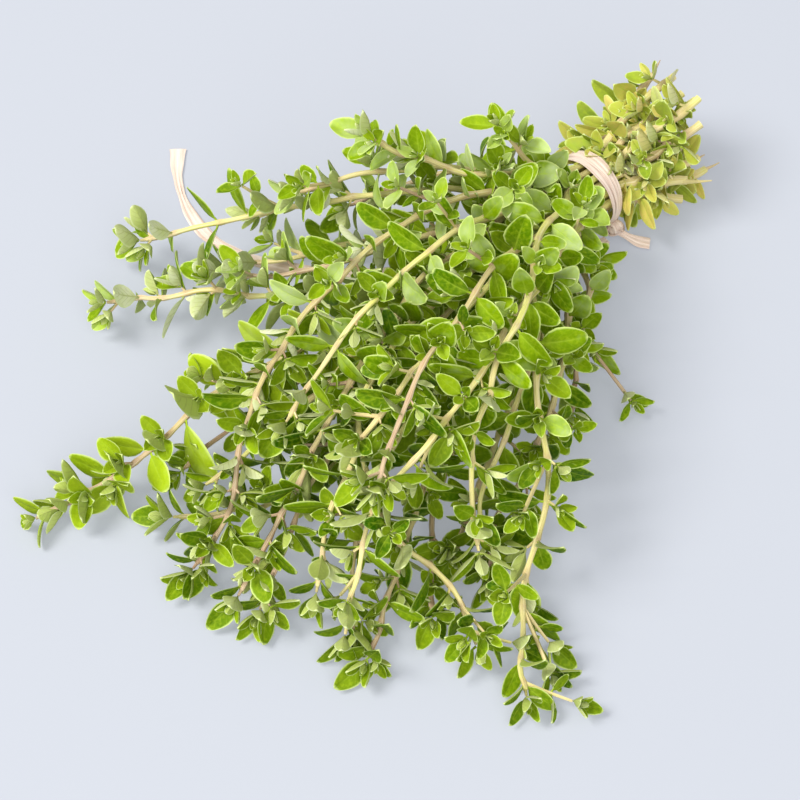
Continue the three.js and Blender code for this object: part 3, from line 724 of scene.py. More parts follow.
def fine_leaf(sprig, stop, turn, angle, scale, draw, ease, light=1.0, old=False):
    """One more leaf at a stop, where it crosses no other sprig's leaf."""
    for attempt in range(FINE_TRIES):
        turned = turn + swing(draw, FINE_LOOSENESS + FINE_TURNING * attempt)
        angled = angle + swing(draw, FINE_LOOSENESS + FINE_LEANING * attempt)
        leaf = make_leaf(stop, turned, angled, scale * draw(0.88, 0.26) * (1 - FINE_SHRINKING * attempt))
        if leaf is None:
            continue
        samples = leaf_points(leaf, FINE_SPOTS)
        if taken.clears(samples, sprig.index, ease=ease):
            taken.add(samples, LEAF_GAP, OWN_LEAF_GAP, sprig.index)
            face_light(leaf, draw(0.1, 0.85) * light)
            leaf.old = old
            sprig.leaves.append(leaf)
            return


def whorl(sprig, stop, turn, scale, draw, old=False):
    """Opposite pairs of cupped young leaves round a tip, each smaller and steeper than the last."""
    for pair, share in enumerate(WHORL_SCALES):
        least, more = WHORL_DEGREES
        angle = draw(least - WHORL_STEEPER_DEGREES * pair, more) * DEGREE
        size = scale * share
        for half in (0, 1):
            leaf = make_leaf(stop, turn + half * math.pi + swing(draw, 0.5), angle + swing(draw, 0.25),
                             size * draw(0.85, 0.3))
            if leaf is not None:
                leaf.young, leaf.old, leaf.inner = True, old, pair / 2
                face_light(leaf, 0.35 * draw())
                sprig.leaves.append(leaf)
        turn += math.pi / 2
        stop = Part(**{**vars(stop), "point": stop.point + stop.along * WHORL_RISE * scale})


def bud(sprig, stop, turn, reach, scale, draw, old):
    """A little whorl of cupped young leaves on a short stalk, in the angle of a leaf."""
    heading = unit(outward(stop, turn, draw(*BUD_DEGREES) * DEGREE) + LIGHT_WAY * draw(0.1, 0.6))
    point = stop.point + heading * reach
    stalk = short_stem(stop, [(stop.point, SHOOT_RADIUS * 0.75), (point, SHOOT_RADIUS * 0.55)])
    if point[2] < BUD_FLOOR or not taken.clears(point[None], sprig.index, -LEAF_GAP + BUD_CLEARANCE):
        return
    taken.add(point, LEAF_GAP, owner=sprig.index)
    sprig.stalks.append(stalk)
    whorl(sprig, stalk[-1], turn + math.pi / 2, scale, draw, old)


def raised_tip(sprig, stop, turn, scale, draw):
    """The end of a stem, that lifts to the light and ends in a whorl."""
    heading = unit(stop.along + LIGHT_WAY * draw(0.3, 0.6))
    stalk = short_stem(stop, [
        (stop.point - stop.along, stop.radius * 0.75),
        (stop.point + stop.along * 0.4, stop.radius * 0.75),
        (stop.point + unit(stop.along + heading) * 1.5, stop.radius * 0.6)])
    sprig.stalks.append(stalk)
    whorl(sprig, stalk[-1], turn, scale, draw)


def fine_shoot(sprig, stop, turn, draw):
    """A short leafy shoot with a pair of leaves on the way and a whorl at its tip, where there is room."""
    heading = outward(stop, turn + swing(draw, 0.8), draw(*FINE_SHOOT_DEGREES) * DEGREE)
    length = draw(*FINE_SHOOT_LENGTHS)
    stops = short_stem(stop, [
        (stop.point + heading * share * length + UP * FINE_SHOOT_RISE * length * share ** 2,
         SHOOT_RADIUS * (1 - FINE_SHOOT_TAPER * share)) for share in (0, 0.5, 1)])
    _, middle, tip = stops
    tip.along = unit(tip.along + LIGHT_WAY * 0.5)
    tip.side = square_to(tip.side, tip.along)
    marks = np.array([middle.point, tip.point])
    if marks[:, 2].min() < FINE_SHOOT_FLOOR:
        return False
    if not taken.clears(marks, sprig.index, FINE_SHOOT_EXTRA, FINE_SHOOT_EASE):
        return False
    taken.add(marks, LEAF_GAP, owner=sprig.index)
    sprig.stalks.append(stops)
    for half in (0, 1):
        turned = turn + half * math.pi + math.pi / 2
        fine_leaf(sprig, middle, turned, FINE_SHOOT_LEAF_ANGLE, draw(*FINE_SHOOT_LEAF_SCALES), draw,
                  FINE_SHOOT_LEAF_EASE)
    whorl(sprig, tip, turn, draw(*FINE_SHOOT_TIP_SCALES), draw)
    return True


def pale_stub(sprig, stop, draw):
    """A thin bare stalk that runs to a point beyond the cut end of a stem."""
    across = np.cross(stop.along, stop.side)
    heading = unit(-stop.along + stop.side * swing(draw, 1) + across * swing(draw, 1))
    length = draw(*PALE_STUB_LENGTHS)
    sprig.stalks.append(short_stem(stop, [
        (stop.point + stop.along * 2 + heading * share * length + UP * share ** 2,
         PALE_STUB_RADIUS * (1 - 0.8 * share)) for share in (0, 0.35, 0.7, 1)]))


def fullness_of(sprig):
    """How densely a sprig grows, as a share of the usual. Those under the others grow fewer leaves."""
    return LOWER_FULLNESS if sprig.index in LOWER_SPRIGS else FULLNESS.get(sprig.index, 1)


def sprig_nodes(sprig):
    """A sprig's nodes, its large pairs and those between, as (stop number, turn, past tie, added)."""
    nodes = []
    for i, (stop, following) in enumerate(zip(sprig.stops, sprig.stops[1:])):
        past_tie = stop.point[0] > NECK_HALF + 1
        if hasattr(stop, "rank") or hasattr(stop, "old"):
            nodes.append((float(i), pair_turn(getattr(stop, "rank", 0)), past_tie, False))
        if hasattr(stop, "fixed") and hasattr(following, "fixed"):
            continue
        spacing = END_SPACING if past_tie else NODE_SPACING / fullness_of(sprig)
        extra = max(math.ceil(np.linalg.norm(following.point - stop.point) / spacing) - 1, 0)
        step = (math.pi / 2 + (math.pi if extra else 0)) / (extra + 1)
        for k in range(extra):
            turn = pair_turn(getattr(following, "rank", 0)) + step * (extra - k)
            nodes.append((i + (k + 1) / (extra + 1), turn, past_tie, True))
    return nodes


def add_leaves(sprig, draw):
    """Leaves between a sprig's large ones. Near the tie they are smaller and turn less to the light."""
    tip_way = sprig.stops[-1].way
    lime = sprig.index in LIME_SPRIGS
    fullness = fullness_of(sprig)
    scales = [SCALE_AT_TIP, LIME_FULL_SCALE if lime else FULL_SCALE]
    for after, turn, past_tie, added in sprig.nodes:
        stop = at_line(sprig, after)
        by_tie = 1 - min(max(-stop.point[0] / TIE_REACH, 0), 1)
        light = LIME_LIGHT if lime else 1 - SHADE_BY_TIE * by_tie
        scale = between(scales, min((tip_way - stop.way) / GROWN_REACH, 1)) * (1 - SMALLER_BY_TIE * by_tie)
        for half in (0, 1):
            turned = turn + half * math.pi
            skipped = draw() * fullness < SKIPPED
            if past_tie:
                if draw() < PAST_TIE_LEAVES:
                    fine_leaf(sprig, stop, turned, draw(*PAST_TIE_DEGREES) * DEGREE, draw(*PAST_TIE_SCALES),
                              draw, PAST_TIE_EASE, PAST_TIE_LIGHT, old=True)
            elif added and not skipped:
                angle = draw(*(LIME_DEGREES if lime else FILL_DEGREES)) * DEGREE
                fine_leaf(sprig, stop, turned, angle, scale * draw(*FILL_SIZES), draw,
                          LIME_EASE if lime else FINE_EASE, light)


def add_buds(sprig, draw):
    """Buds and short shoots in a sprig's leaf angles."""
    fullness = fullness_of(sprig)
    for after, turn, past_tie, _ in sprig.nodes:
        stop = at_line(sprig, after)
        for half in (0, 1):
            turned = turn + half * math.pi + swing(draw, 0.5)
            chance = draw()
            if chance < FINE_SHOOT_SHARE and not past_tie and fine_shoot(sprig, stop, turned, draw):
                continue
            if chance < BUD_SHARE * (PAST_TIE_BUDS if past_tie else fullness):
                bud(sprig, stop, turned, draw(*BUD_REACHES), draw(*BUD_SCALES), draw, past_tie)


def dress_sprig(sprig):
    """Fills a sprig in: leaves between the large ones, buds in the leaf angles, and a whorl at each tip."""
    sprig.line = stem_line(sprig.stops, LINE_STEP, draws(sprig.index, KEYS.bow))
    sprig.nodes = sprig_nodes(sprig)
    draw = draws(sprig.index, KEYS.fine)
    add_leaves(sprig, draw)
    add_buds(sprig, draw)
    tip_scale = draw(*(LIME_TIP_SCALES if sprig.index in LIME_SPRIGS else TIP_SCALES))
    raised_tip(sprig, sprig.stops[-1], pair_turn(1), tip_scale, draw)
    for shoot in sprig.shoots:
        raised_tip(sprig, shoot[-1], pair_turn(1), draw(*SHOOT_TIP_SCALES), draw)
    if draws(sprig.index, KEYS.stub_chance)() < PALE_STUB_SHARE:
        pale_stub(sprig, sprig.stops[0], draw)


# ---- Meshes ----

def in_scene(name, data):
    """An object of its own for a mesh, camera or lamp."""
    item = bpy.data.objects.new(name, data)
    bpy.context.scene.collection.objects.link(item)
    return item


def off_floor(points):
    """Presses what would dip below the floor flat on it."""
    points = points.copy()
    dipped = points[:, 2] < LEAST_HEIGHT
    points[dipped, 2] = LEAST_HEIGHT * np.exp((points[dipped, 2] - LEAST_HEIGHT) / PRESS_DEPTH)
    return points


def skin_object(name, skins, materials, sharp):
    """Closed skins as one mesh object in metres, creased where its faces meet at more than the sharp angle.

    Each skin has points of the layout, with a uv and values for each of them, and arrays of faces of one size
    each. Where there are two materials, material_of has the material of each face.
    """
    starts = np.cumsum([0] + [len(skin.points) for skin in skins])
    points = off_floor(np.vstack([skin.points for skin in skins]))
    faces = [group + start for skin, start in zip(skins, starts) for group in skin.faces]
    corners = np.concatenate([group.ravel() for group in faces])
    sizes = np.concatenate([np.full(len(group), group.shape[1]) for group in faces])

    mesh = bpy.data.meshes.new(name)
    mesh.vertices.add(len(points))
    mesh.vertices.foreach_set("co", ((points + SHIFT) * MM).astype(np.float32).ravel())
    mesh.loops.add(len(corners))
    mesh.loops.foreach_set("vertex_index", corners.astype(np.int32))
    mesh.polygons.add(len(sizes))
    mesh.polygons.foreach_set("loop_start", (np.cumsum(sizes) - sizes).astype(np.int32))
    for material in materials:
        mesh.materials.append(material)
    if len(materials) > 1:
        material_of = np.concatenate([skin.material_of for skin in skins])
        mesh.polygons.foreach_set("material_index", material_of.astype(np.int32))
    mesh.update(calc_edges=True)
    mesh.validate()

    uv = np.vstack([skin.uv for skin in skins])[corners]
    mesh.uv_layers.new(name="UVMap").data.foreach_set("uv", uv.astype(np.float32).ravel())
    for key in skins[0].values:
        values = np.concatenate([skin.values[key] for skin in skins])
        mesh.attributes.new(key, "FLOAT", "POINT").data.foreach_set("value", values.astype(np.float32))
    mesh.shade_smooth()
    mesh.set_sharp_from_angle(angle=sharp)
    return in_scene(name, mesh)


def ring_faces(rings, around):
    """Quads between rings of points, each ring joined to the next."""
    ring, k = np.meshgrid(np.arange(rings - 1), np.arange(around), indexing="ij")
    a = ring * around + k
    b = ring * around + (k + 1) % around
    return np.stack([a, b, b + around, a + around], -1).reshape(-1, 4)


def cap_faces(rings, around):
    """The two faces that close the first and the last of a row of rings."""
    return np.stack([np.arange(around)[::-1], (rings - 1) * around + np.arange(around)])


def grid_uv(along, across):
    """A uv for each point of a row of rings, from places along the row and round each ring."""
    return np.stack(np.broadcast_arrays(along[:, None], across[None, :]), -1).reshape(-1, 2)


# ---- Leaf blades ----
# For leaves of three lengths: the places of the rings along the blade, and the number of spans across it
BLADES = (
    Part(least=7, most=99, columns=5,
         rows=np.array([0, 0.11, 0.17, 0.27, 0.42, 0.58, 0.73, 0.85, 0.93, 0.973, 0.992, 0.9998])),
    Part(least=3.6, most=7, columns=4, rows=np.array([0, 0.13, 0.28, 0.52, 0.76, 0.92, 0.98, 0.9995])),
    Part(least=0, most=3.6, columns=3, rows=np.array([0, 0.13, 0.38, 0.7, 0.92, 0.999])),
)
STALK_LENGTH = 0.16
BLADE_START = 0.1
STALK_WIDTH = 0.11
TIP_WIDTH = 0.04
BULGE = 0.1
EDGE_ROLL = 0.09
ROLLED_EDGE = 0.25
FOLD_POWER = 1.6
BLADE_THICKNESS = 0.1
THICKNESS_LIMITS = (0.1, 0.17)
EDGE_THINNING = 0.5
STALK_THICKENING = 0.12
RIB_NARROWNESS = 3.2
RIB_ABOVE = 0.9
RIB_BELOW = 0.8
LEAF_CREASE = 70 * DEGREE


def leaf_width(share):
    """A leaf's half width along its length, as a share of its greatest: a short stalk and an ovate blade."""
    blade = np.clip((share - BLADE_START) / (1 - BLADE_START), 0, 1)
    wide = np.sin(np.pi * blade ** 0.86) ** (0.85 - 0.35 * blade)
    return np.maximum(wide, np.where(share < 0.5, STALK_WIDTH, TIP_WIDTH))


def leaf_skins(leaves, blade):
    """The closed skins of many leaves at once: rings of points round each blade."""
    rows, columns = blade.rows, blade.columns
    top_v = np.linspace(-1, 1, columns + 1)
    v = np.concatenate([top_v, top_v[-2:0:-1]])
    face = np.concatenate([np.ones(columns + 1), -np.ones(columns - 1)])
    face[[0, columns]] = 0
    around, count = len(v), len(leaves)

    def each(key):
        """One value of every leaf."""
        return np.array([getattr(leaf, key) for leaf in leaves], float)

    length, half = each("length")[:, None], each("width")[:, None] / 2
    bend, twist, fold, cup, sway = (each(key)[:, None] for key in ("bend", "twist", "fold", "cup", "sway"))
    root, direction, side, top = (each(key)[:, None] for key in ("root", "direction", "side", "top"))

    # The midrib: an arc that also sways to one side, with the blade's own directions turning along it.
    share = rows[None, :]
    turn = bend * share
    cosine, sine = np.cos(turn)[..., None], np.sin(turn)[..., None]
    forward, rise = length / bend * np.sin(turn), length / bend * (1 - np.cos(turn))
    spine = (root + direction * forward[..., None] + top * rise[..., None]
             + side * (sway * length * share ** 2)[..., None])
    forward_way = direction * cosine + top * sine
    top_way = top * cosine - direction * sine
    roll = twist * share
    side_way = side * np.cos(roll)[..., None] + top_way * np.sin(roll)[..., None]
    top_way = np.cross(side_way, forward_way)

    # Across the midrib: the fold, the cup and the rolled edge, then the thickness to both sides of them.
    wide = half[..., None] * leaf_width(rows)[None, :, None]
    across = v[None, None, :]
    off_rib = np.abs(across)
    bulge = BULGE * np.sin(np.pi * off_rib)
    rolled = EDGE_ROLL * np.clip((off_rib - (1 - ROLLED_EDGE)) / ROLLED_EDGE, 0, 1) ** 2
    folded = fold[..., None] * off_rib ** FOLD_POWER + cup[..., None] * across ** 2
    surface = wide * (folded + bulge - rolled)
    thick = np.clip(half[..., None] * BLADE_THICKNESS, *THICKNESS_LIMITS)
    rib = np.clip(1 - off_rib * RIB_NARROWNESS, 0, 1)
    shell = (face * thick * (1 - EDGE_THINNING * across ** 2)
             - rib * thick * np.where(face > 0, RIB_ABOVE, RIB_BELOW))
    shell = shell + face * np.clip(1 - share / STALK_LENGTH, 0, 1)[..., None] * STALK_THICKENING
    points = (spine[:, :, None] + side_way[:, :, None] * (wide * across)[..., None]
              + top_way[:, :, None] * (surface + shell)[..., None])

    size = len(rows) * around
    offsets = (np.arange(count) * size)[:, None, None]
    quads = (ring_faces(len(rows), around)[None] + offsets).reshape(-1, 4)
    caps = (cap_faces(len(rows), around)[None] + offsets).reshape(-1, around)
    under = np.tile(np.tile(np.arange(around) >= columns, len(rows) - 1), count)
    return Part(points=points.reshape(count * size, 3), faces=[quads, caps],
                uv=np.tile(grid_uv(rows, (v + 1) / 2), (count, 1)),
                material_of=np.concatenate([under, np.zeros(len(caps))]),
                values={key: np.repeat(each(key), size) for key in ("tone", "youth", "age")})


# ---- Leaf looks ----
SPRIG_TONE = 0.35
LEAF_TONE = 0.65
# Painted shade and light over the bunch: leaf tones are shifted deeper toward the front and paler behind, as
# the light falls.
PAINTED_LIGHT_BEHIND = 0.12
PAINTED_SHADE_IN_FRONT = 0.28
FRONT_WAY = np.array([-0.669, -0.743, 0])
FRONT_REACH = 70
LIME = 0.58
LIME_WIDTH = 1.22
TIP_YOUTH = 0.25
TIP_REACH = 35
LEAST_BEND = 0.02


def painted_shade_by_place(point):
    """Painted shade and light: deeper greens toward the front of the bunch, where the light falls less, and
    paler ones behind, where it falls more.
    """
    front = (point + SHIFT) @ FRONT_WAY
    return PAINTED_LIGHT_BEHIND - (PAINTED_LIGHT_BEHIND + PAINTED_SHADE_IN_FRONT) * min(max(front / FRONT_REACH, 0), 1)


def set_leaf_looks(sprig):
    """Each leaf's seeded curl, fold, width and colour. The colour carries painted shade toward the front of
    the bunch and painted light behind.
    """
    tip_way = sprig.stops[-1].way
    draw = draws(sprig.index, KEYS.looks)
    sprig_tone = draw() * SPRIG_TONE
    lime = LIME if sprig.index in LIME_SPRIGS else 0.0
    for leaf in sprig.leaves:
        if leaf.solid:
            face_light(leaf, draw(0.15, 0.55))
        leaf.fold = LEAF_FOLD * draw(0.3, 0.8)
        leaf.cup = draw(0.25, 0.4) if leaf.young else (draw() - 0.3) * 0.5
        leaf.bend = draw(0.15, 0.75) if leaf.young else (draw() - 0.8) * 0.9
        leaf.bend = math.copysign(max(abs(leaf.bend), LEAST_BEND), leaf.bend)
        leaf.twist = swing(draw, 0.3 if leaf.young else 0.8)
        leaf.sway = swing(draw, 0.14)
        leaf.width *= draw(0.80, 0.27) * (LIME_WIDTH if lime else 1)
        # The tone: random from sprig to sprig and leaf to leaf, plus painted shade toward the front of the
        # bunch and painted light behind.
        leaf.tone = draw(sprig_tone, LEAF_TONE) + painted_shade_by_place(leaf.root)
        near_tip = max(0, 1 - (tip_way - leaf.way) / TIP_REACH)
        leaf.youth = draw(0.04, 0.26) + 0.34 * leaf.inner if leaf.young else TIP_YOUTH * near_tip * draw()
        leaf.youth = max(leaf.youth, lime * draw(0.5, 0.7))
        leaf.age = draw(0.1, 0.9) if leaf.old else 0.0


def leaves_object(sprig, name, materials):
    """All the leaves of a sprig as one piece, with an upper and an under side."""
    set_leaf_looks(sprig)
    groups = [([leaf for leaf in sprig.leaves if blade.least < leaf.length <= blade.most], blade)
              for blade in BLADES]
    return skin_object(name, [leaf_skins(*group) for group in groups if group[0]], materials, LEAF_CREASE)


# ---- Stem skins ----
STEM_SIDES = 10
STALK_SIDES = 6
STALK_STEP = 2.2
CORE = 0.86
RIDGE = 0.1
RIDGES = 4
NODE_LENGTH = 1.2
NODE_SWELLING = 0.3
GREEN_REACH = 90
STALK_NODE = 0.4
STALK_WOOD = 0.1
WOBBLES = ((0.05, 0.9), (0.04, 2.3))
STEM_CREASE = 60 * DEGREE
UV_LENGTH = 10


def stem_skin(line, radius, around):
    """A stem's closed skin along a smooth line: a section with four soft ridges."""
    turn = 2 * np.pi * np.arange(around) / around
    across = np.cross(line.along, line.side)
    reach = radius[:, None] * (CORE + RIDGE * np.cos(RIDGES * turn))[None]
    points = (line.point[:, None] + line.side[:, None] * (reach * np.cos(turn))[..., None]
              + across[:, None] * (reach * np.sin(turn))[..., None])
    rings = len(line.point)
    return Part(points=points.reshape(-1, 3), faces=[ring_faces(rings, around), cap_faces(rings, around)],
                uv=grid_uv(line.way / UV_LENGTH, turn / (2 * np.pi)))


def stem_object(sprig, name, material):
    """The stem of a sprig with its shoots and stalks, swollen and tinted at the nodes."""
    draw = draws(sprig.index, KEYS.skin)
    node_ways = np.array([at_line(sprig, after).way for after, *_ in sprig.nodes])
    tip_way = sprig.stops[-1].way
    rosy = 1.0 if sprig.index in ROSY_SPRIGS else draw()
    stalks = [(stem_line(stops, STALK_STEP), STALK_SIDES) for stops in sprig.shoots + sprig.stalks]
    skins = []
    for line, around in [(sprig.line, STEM_SIDES)] + stalks:
        way = line.way
        node, woody, swelling = way * 0 + STALK_NODE, way * 0 + STALK_WOOD, 0.0
        if line is sprig.line:
            node = np.exp(-((way[:, None] - node_ways[None]) / NODE_LENGTH) ** 2).max(1)
            woody = np.clip((tip_way - way) / GREEN_REACH, 0, 1)
            swelling = NODE_SWELLING
        wobble = 1
        for height, pace in WOBBLES:
            wobble = wobble + height * np.sin(way * pace + 6 * draw())
        skin = stem_skin(line, line.radius * wobble * (1 + swelling * node), around)
        skin.values = {"node": np.repeat(node, around), "woody": np.repeat(woody, around),
                       "tone": np.full(len(skin.points), rosy)}
        skins.append(skin)
    return skin_object(name, skins, [material], STEM_CREASE)


# ---- Raffia ----
FOLDS = 4
SKIN = 0.17
RAFFIA_CREASE = 75 * DEGREE
STRIP_COLUMNS = 14
STRIP_STEP = 0.8
CORD_STEP = 1.0
BAND_STEPS = 120
LOOP_STEPS = 40
LOOP_COLUMNS = 10
LOOP_CRUMPLE = 0.14
# The waves across a strip: how high, how often across it, and how they drift along it.
PLEATS = ((0.6, FOLDS * 2.2, 0.10), (0.3, FOLDS * 4.7, -0.16), (0.5, 1.7, 0.23))


def strip_skin(spine, out, side, half_width, crumple, seed, closed, columns=STRIP_COLUMNS):
    """A folded strip as a closed skin: a flat section swept along a spine and pleated lengthwise.

    A strip that comes round to its start is joined to itself, and any other has its two ends closed.
    """
    draw = draws(seed)
    phases = [draw() * 6.28 for _ in range(4)]
    way = ways_along(spine)[:, None]
    v = np.linspace(-1, 1, columns + 1)
    pleat = sum(np.sin(v[None] * waves + phase + drift * way) * height
                for (height, waves, drift), phase in zip(PLEATS, phases))
    lift = pleat * crumple[:, None]
    wander = 1 + 0.05 * np.sin(way[:, 0] * 0.7 + phases[3])
    flat = spine[:, None] + side[:, None] * (v[None] * (half_width * wander)[:, None])[..., None]
    upper = flat + out[:, None] * (lift + SKIN * (1 - v[None] ** 4))[..., None]
    lower = flat + out[:, None] * (lift - SKIN * (1 - v[None] ** 4))[..., None]
    ring = np.concatenate([upper, lower[:, -2:0:-1]], axis=1)
    ring_v = np.concatenate([v, v[-2:0:-1]])
    rings, around = ring.shape[:2]
    faces = [ring_faces(rings + closed, around) % (rings * around)]
    if not closed:
        faces.append(cap_faces(rings, around))
    uv = grid_uv(way[:, 0] / UV_LENGTH, (ring_v + 1) / 2)
    return Part(points=ring.reshape(-1, 3), faces=faces, uv=uv, values={})


def route_strip(route, widths, crumples, roll, seed):
    """A strip along a route: its width, crumple and roll in degrees are given at shares of its length."""
    spine, _ = smooth_line(route, STRIP_STEP)
    share = ways_along(spine) / ways_along(spine)[-1]
    along = units(np.gradient(spine, axis=0))
    flat_side = units(np.cross(UP, along))
    out = np.cross(along, flat_side)
    turn = np.interp(share, *zip(*roll))[:, None] * DEGREE
    side = flat_side * np.cos(turn) + out * np.sin(turn)
    half_width = np.interp(share, *zip(*widths)) / 2
    crumple = np.interp(share, *zip(*crumples))
    return strip_skin(spine, np.cross(along, side), side, half_width, crumple, seed, closed=False)


def band(radius, shift, lean, half_width, seed):
    """One turn of the strip round the neck, narrow and pleated at the knot and spread flat away from it."""
    turn = 2 * np.pi * np.arange(BAND_STEPS) / BAND_STEPS
    from_knot = (1 - np.cos(turn)) / 2
    start = math.pi + KNOT_BELOW
    y, z = np.cos(start + turn), np.sin(start + turn)
    wave = 0.12 * np.sin(3 * turn + seed)
    spine = np.stack([shift * (0.3 + 0.7 * from_knot) + lean * np.sin(turn) + wave, radius * y,
                      NECK_HEIGHT + radius * z], -1)
    out = np.stack([0 * turn, y, z], -1)
    side = np.tile(LENGTHWISE, (len(turn), 1))
    width = half_width * (0.42 + 0.58 * from_knot ** 0.6)
    return strip_skin(spine, out, side, width, 0.16 - 0.1 * from_knot, seed, closed=True)


def knot_loop(centre, reach, way, out, half_width, squash, seed):
    """A tight turn of the strip, part of the knot."""
    turn = 2 * np.pi * np.arange(LOOP_STEPS) / LOOP_STEPS
    spine = centre + np.outer(np.cos(turn) * reach, way) + np.outer(np.sin(turn) * reach * squash, out)
    outwards = units(np.outer(np.cos(turn), way) + np.outer(np.sin(turn) / squash, out))
    sides = np.tile(np.cross(way, out), (len(turn), 1))
    width, crumple = np.full(len(turn), half_width), np.full(len(turn), LOOP_CRUMPLE)
    return strip_skin(spine, outwards, sides, width, crumple, seed, closed=True, columns=LOOP_COLUMNS)


def tie_object(material):
    """The tie: two turns round the neck, the knot and the short free end."""
    out = unit(KNOT - np.array([0, 0, NECK_HEIGHT]))
    round_neck = np.cross(LENGTHWISE, out)
    one_way, other_way = unit(LENGTHWISE + round_neck * 0.5), unit(LENGTHWISE - round_neck * 0.6)
    left, right = KNOT + out * 0.1 + LENGTHWISE * 0.4, KNOT + out * 0.1 - LENGTHWISE * 0.5
    strips = [
        band(TIE_BORE + 0.3, shift=-0.5, lean=0.35, half_width=2.15, seed=11),
        band(TIE_BORE + 0.62, shift=0.55, lean=-0.3, half_width=1.9, seed=12),
        knot_loop(KNOT - out * 0.3, 1.9, round_neck, out, half_width=1.5, squash=0.85, seed=13),
        knot_loop(left, 2.1, one_way, out, half_width=1.25, squash=0.8, seed=14),
        knot_loop(right, 1.9, other_way, out, half_width=1.1, squash=0.75, seed=15),
        route_strip(STUB_ROUTE, STUB_WIDTHS, STUB_CRUMPLES, STUB_ROLL, seed=16),
    ]
    return skin_object("raffia_tie", strips, [material], RAFFIA_CREASE)


# ---- Materials ----
# Colours are linear. Noise scales are for each metre, or for each unit of uv where it is stretched.

class Graph:
    """A material's nodes, added one by one with their settings and inputs."""

    def __init__(self, name):
        """Starts a material with no nodes."""
        self.material = bpy.data.materials.new(name)
        self.material.use_nodes = True
        self.tree = self.material.node_tree
        self.tree.nodes.clear()

    def put(self, socket, value):
        """Links a socket to another socket, or sets its constant value."""
        if isinstance(value, bpy.types.NodeSocket):
            self.tree.links.new(value, socket)
        elif isinstance(value, tuple) and socket.type == "RGBA":
            socket.default_value = (*value, 1)
        else:
            socket.default_value = value

    def add(self, kind, inputs=None, **settings):
        """Adds a node."""
        node = self.tree.nodes.new("ShaderNode" + kind)
        for key, value in settings.items():
            setattr(node, key, value)
        for key, value in (inputs or {}).items():
            self.put(node.inputs[key], value)
        return node

    def coordinates(self, kind):
        """The UV or Object coordinates."""
        return self.add("TexCoord").outputs[kind]

    def value(self, name):
        """One of the values that the mesh carries."""
        return self.add("Attribute", attribute_name=name).outputs["Fac"]

    def math(self, operation, a, b=0.0):
        """A sum or other operation."""
        return self.add("Math", {0: a, 1: b}, operation=operation).outputs[0]

    def plus(self, a, b):
        """The sum of two values."""
        return self.math("ADD", a, b)

    def times(self, a, b):
        """The product of two values."""
        return self.math("MULTIPLY", a, b)

    def less(self, a, b):
        """The first value less the second."""
        return self.math("SUBTRACT", a, b)

    def mix(self, share, a, b):
        """A colour mix."""
        return self.add("Mix", {0: share, 6: a, 7: b}, data_type="RGBA", clamp_factor=True).outputs[2]

    def steps(self, value, *stops):
        """A ramp through (place, height) stops."""
        ramp = self.add("ValToRGB", {0: value})
        elements = ramp.color_ramp.elements
        elements[0].position, elements[1].position = stops[0][0], stops[-1][0]
        for place, _ in stops[1:-1]:
            elements.new(place)
        for element, (_, height) in zip(elements, stops):
            element.color = (height, height, height, 1)
        return ramp.outputs[0]

    def noise(self, vector, scale, detail, **inputs):
        """Soft noise."""
        inputs.update({"Vector": vector, "Scale": scale, "Detail": detail})
        return self.add("TexNoise", inputs).outputs["Fac"]

    def stretched(self, vector, scale):
        """Coordinates stretched along their axes."""
        return self.add("Mapping", {"Vector": vector, "Scale": scale}).outputs[0]

    def bump(self, height, strength, distance):
        """A normal bent by small heights, where a height of 1 is a distance in metres."""
        return self.add("Bump", {"Height": height, "Strength": strength, "Distance": distance}).outputs[0]

    def skin(self, color, roughness, specular, **inputs):
        """The surface shader."""
        return self.add("BsdfPrincipled", {"Base Color": color, "Roughness": roughness,
                                           "Specular IOR Level": specular, **inputs}).outputs[0]

    def finish(self, shader):
        """The finished material."""
        self.add("OutputMaterial", {"Surface": shader})
        return self.material


SIDE_VEIN_SPACING = 0.09
SIDE_VEIN_LEAN = 0.6
LEAF_SPECULAR = 0.06
TRANSLUCENT_SHARE = 0.28
# Of each side's colours, the palest tint is a painted sheen in place of a glossy highlight, and the rim
# colour is the pale margin with a painted highlight on it.
LEAF_TOP = dict(
    deep=(0.03, 0.115, 0.0005), fresh=(0.29, 0.46, 0.003), painted_sheen=(0.62, 0.70, 0.45),
    lime=(0.55, 0.70, 0.025), old_a=(0.58, 0.70, 0.12), old_b=(0.97, 0.75, 0.22),
    vein=(0.44, 0.61, 0.05), rim_and_highlight=(0.75, 0.87, 0.32), roughness=0.42, vein_height=-0.8, vein_share=0.45)
LEAF_UNDER = dict(
    deep=(0.38, 0.46, 0.11), fresh=(0.85, 0.86, 0.58), painted_sheen=(1, 0.98, 0.95),
    lime=(0.62, 0.74, 0.16), old_a=(0.60, 0.66, 0.22), old_b=(0.85, 0.70, 0.32),
    vein=(0.40, 0.42, 0.14), rim_and_highlight=(0.80, 0.86, 0.52), roughness=0.65, vein_height=1.0, vein_share=1.0)


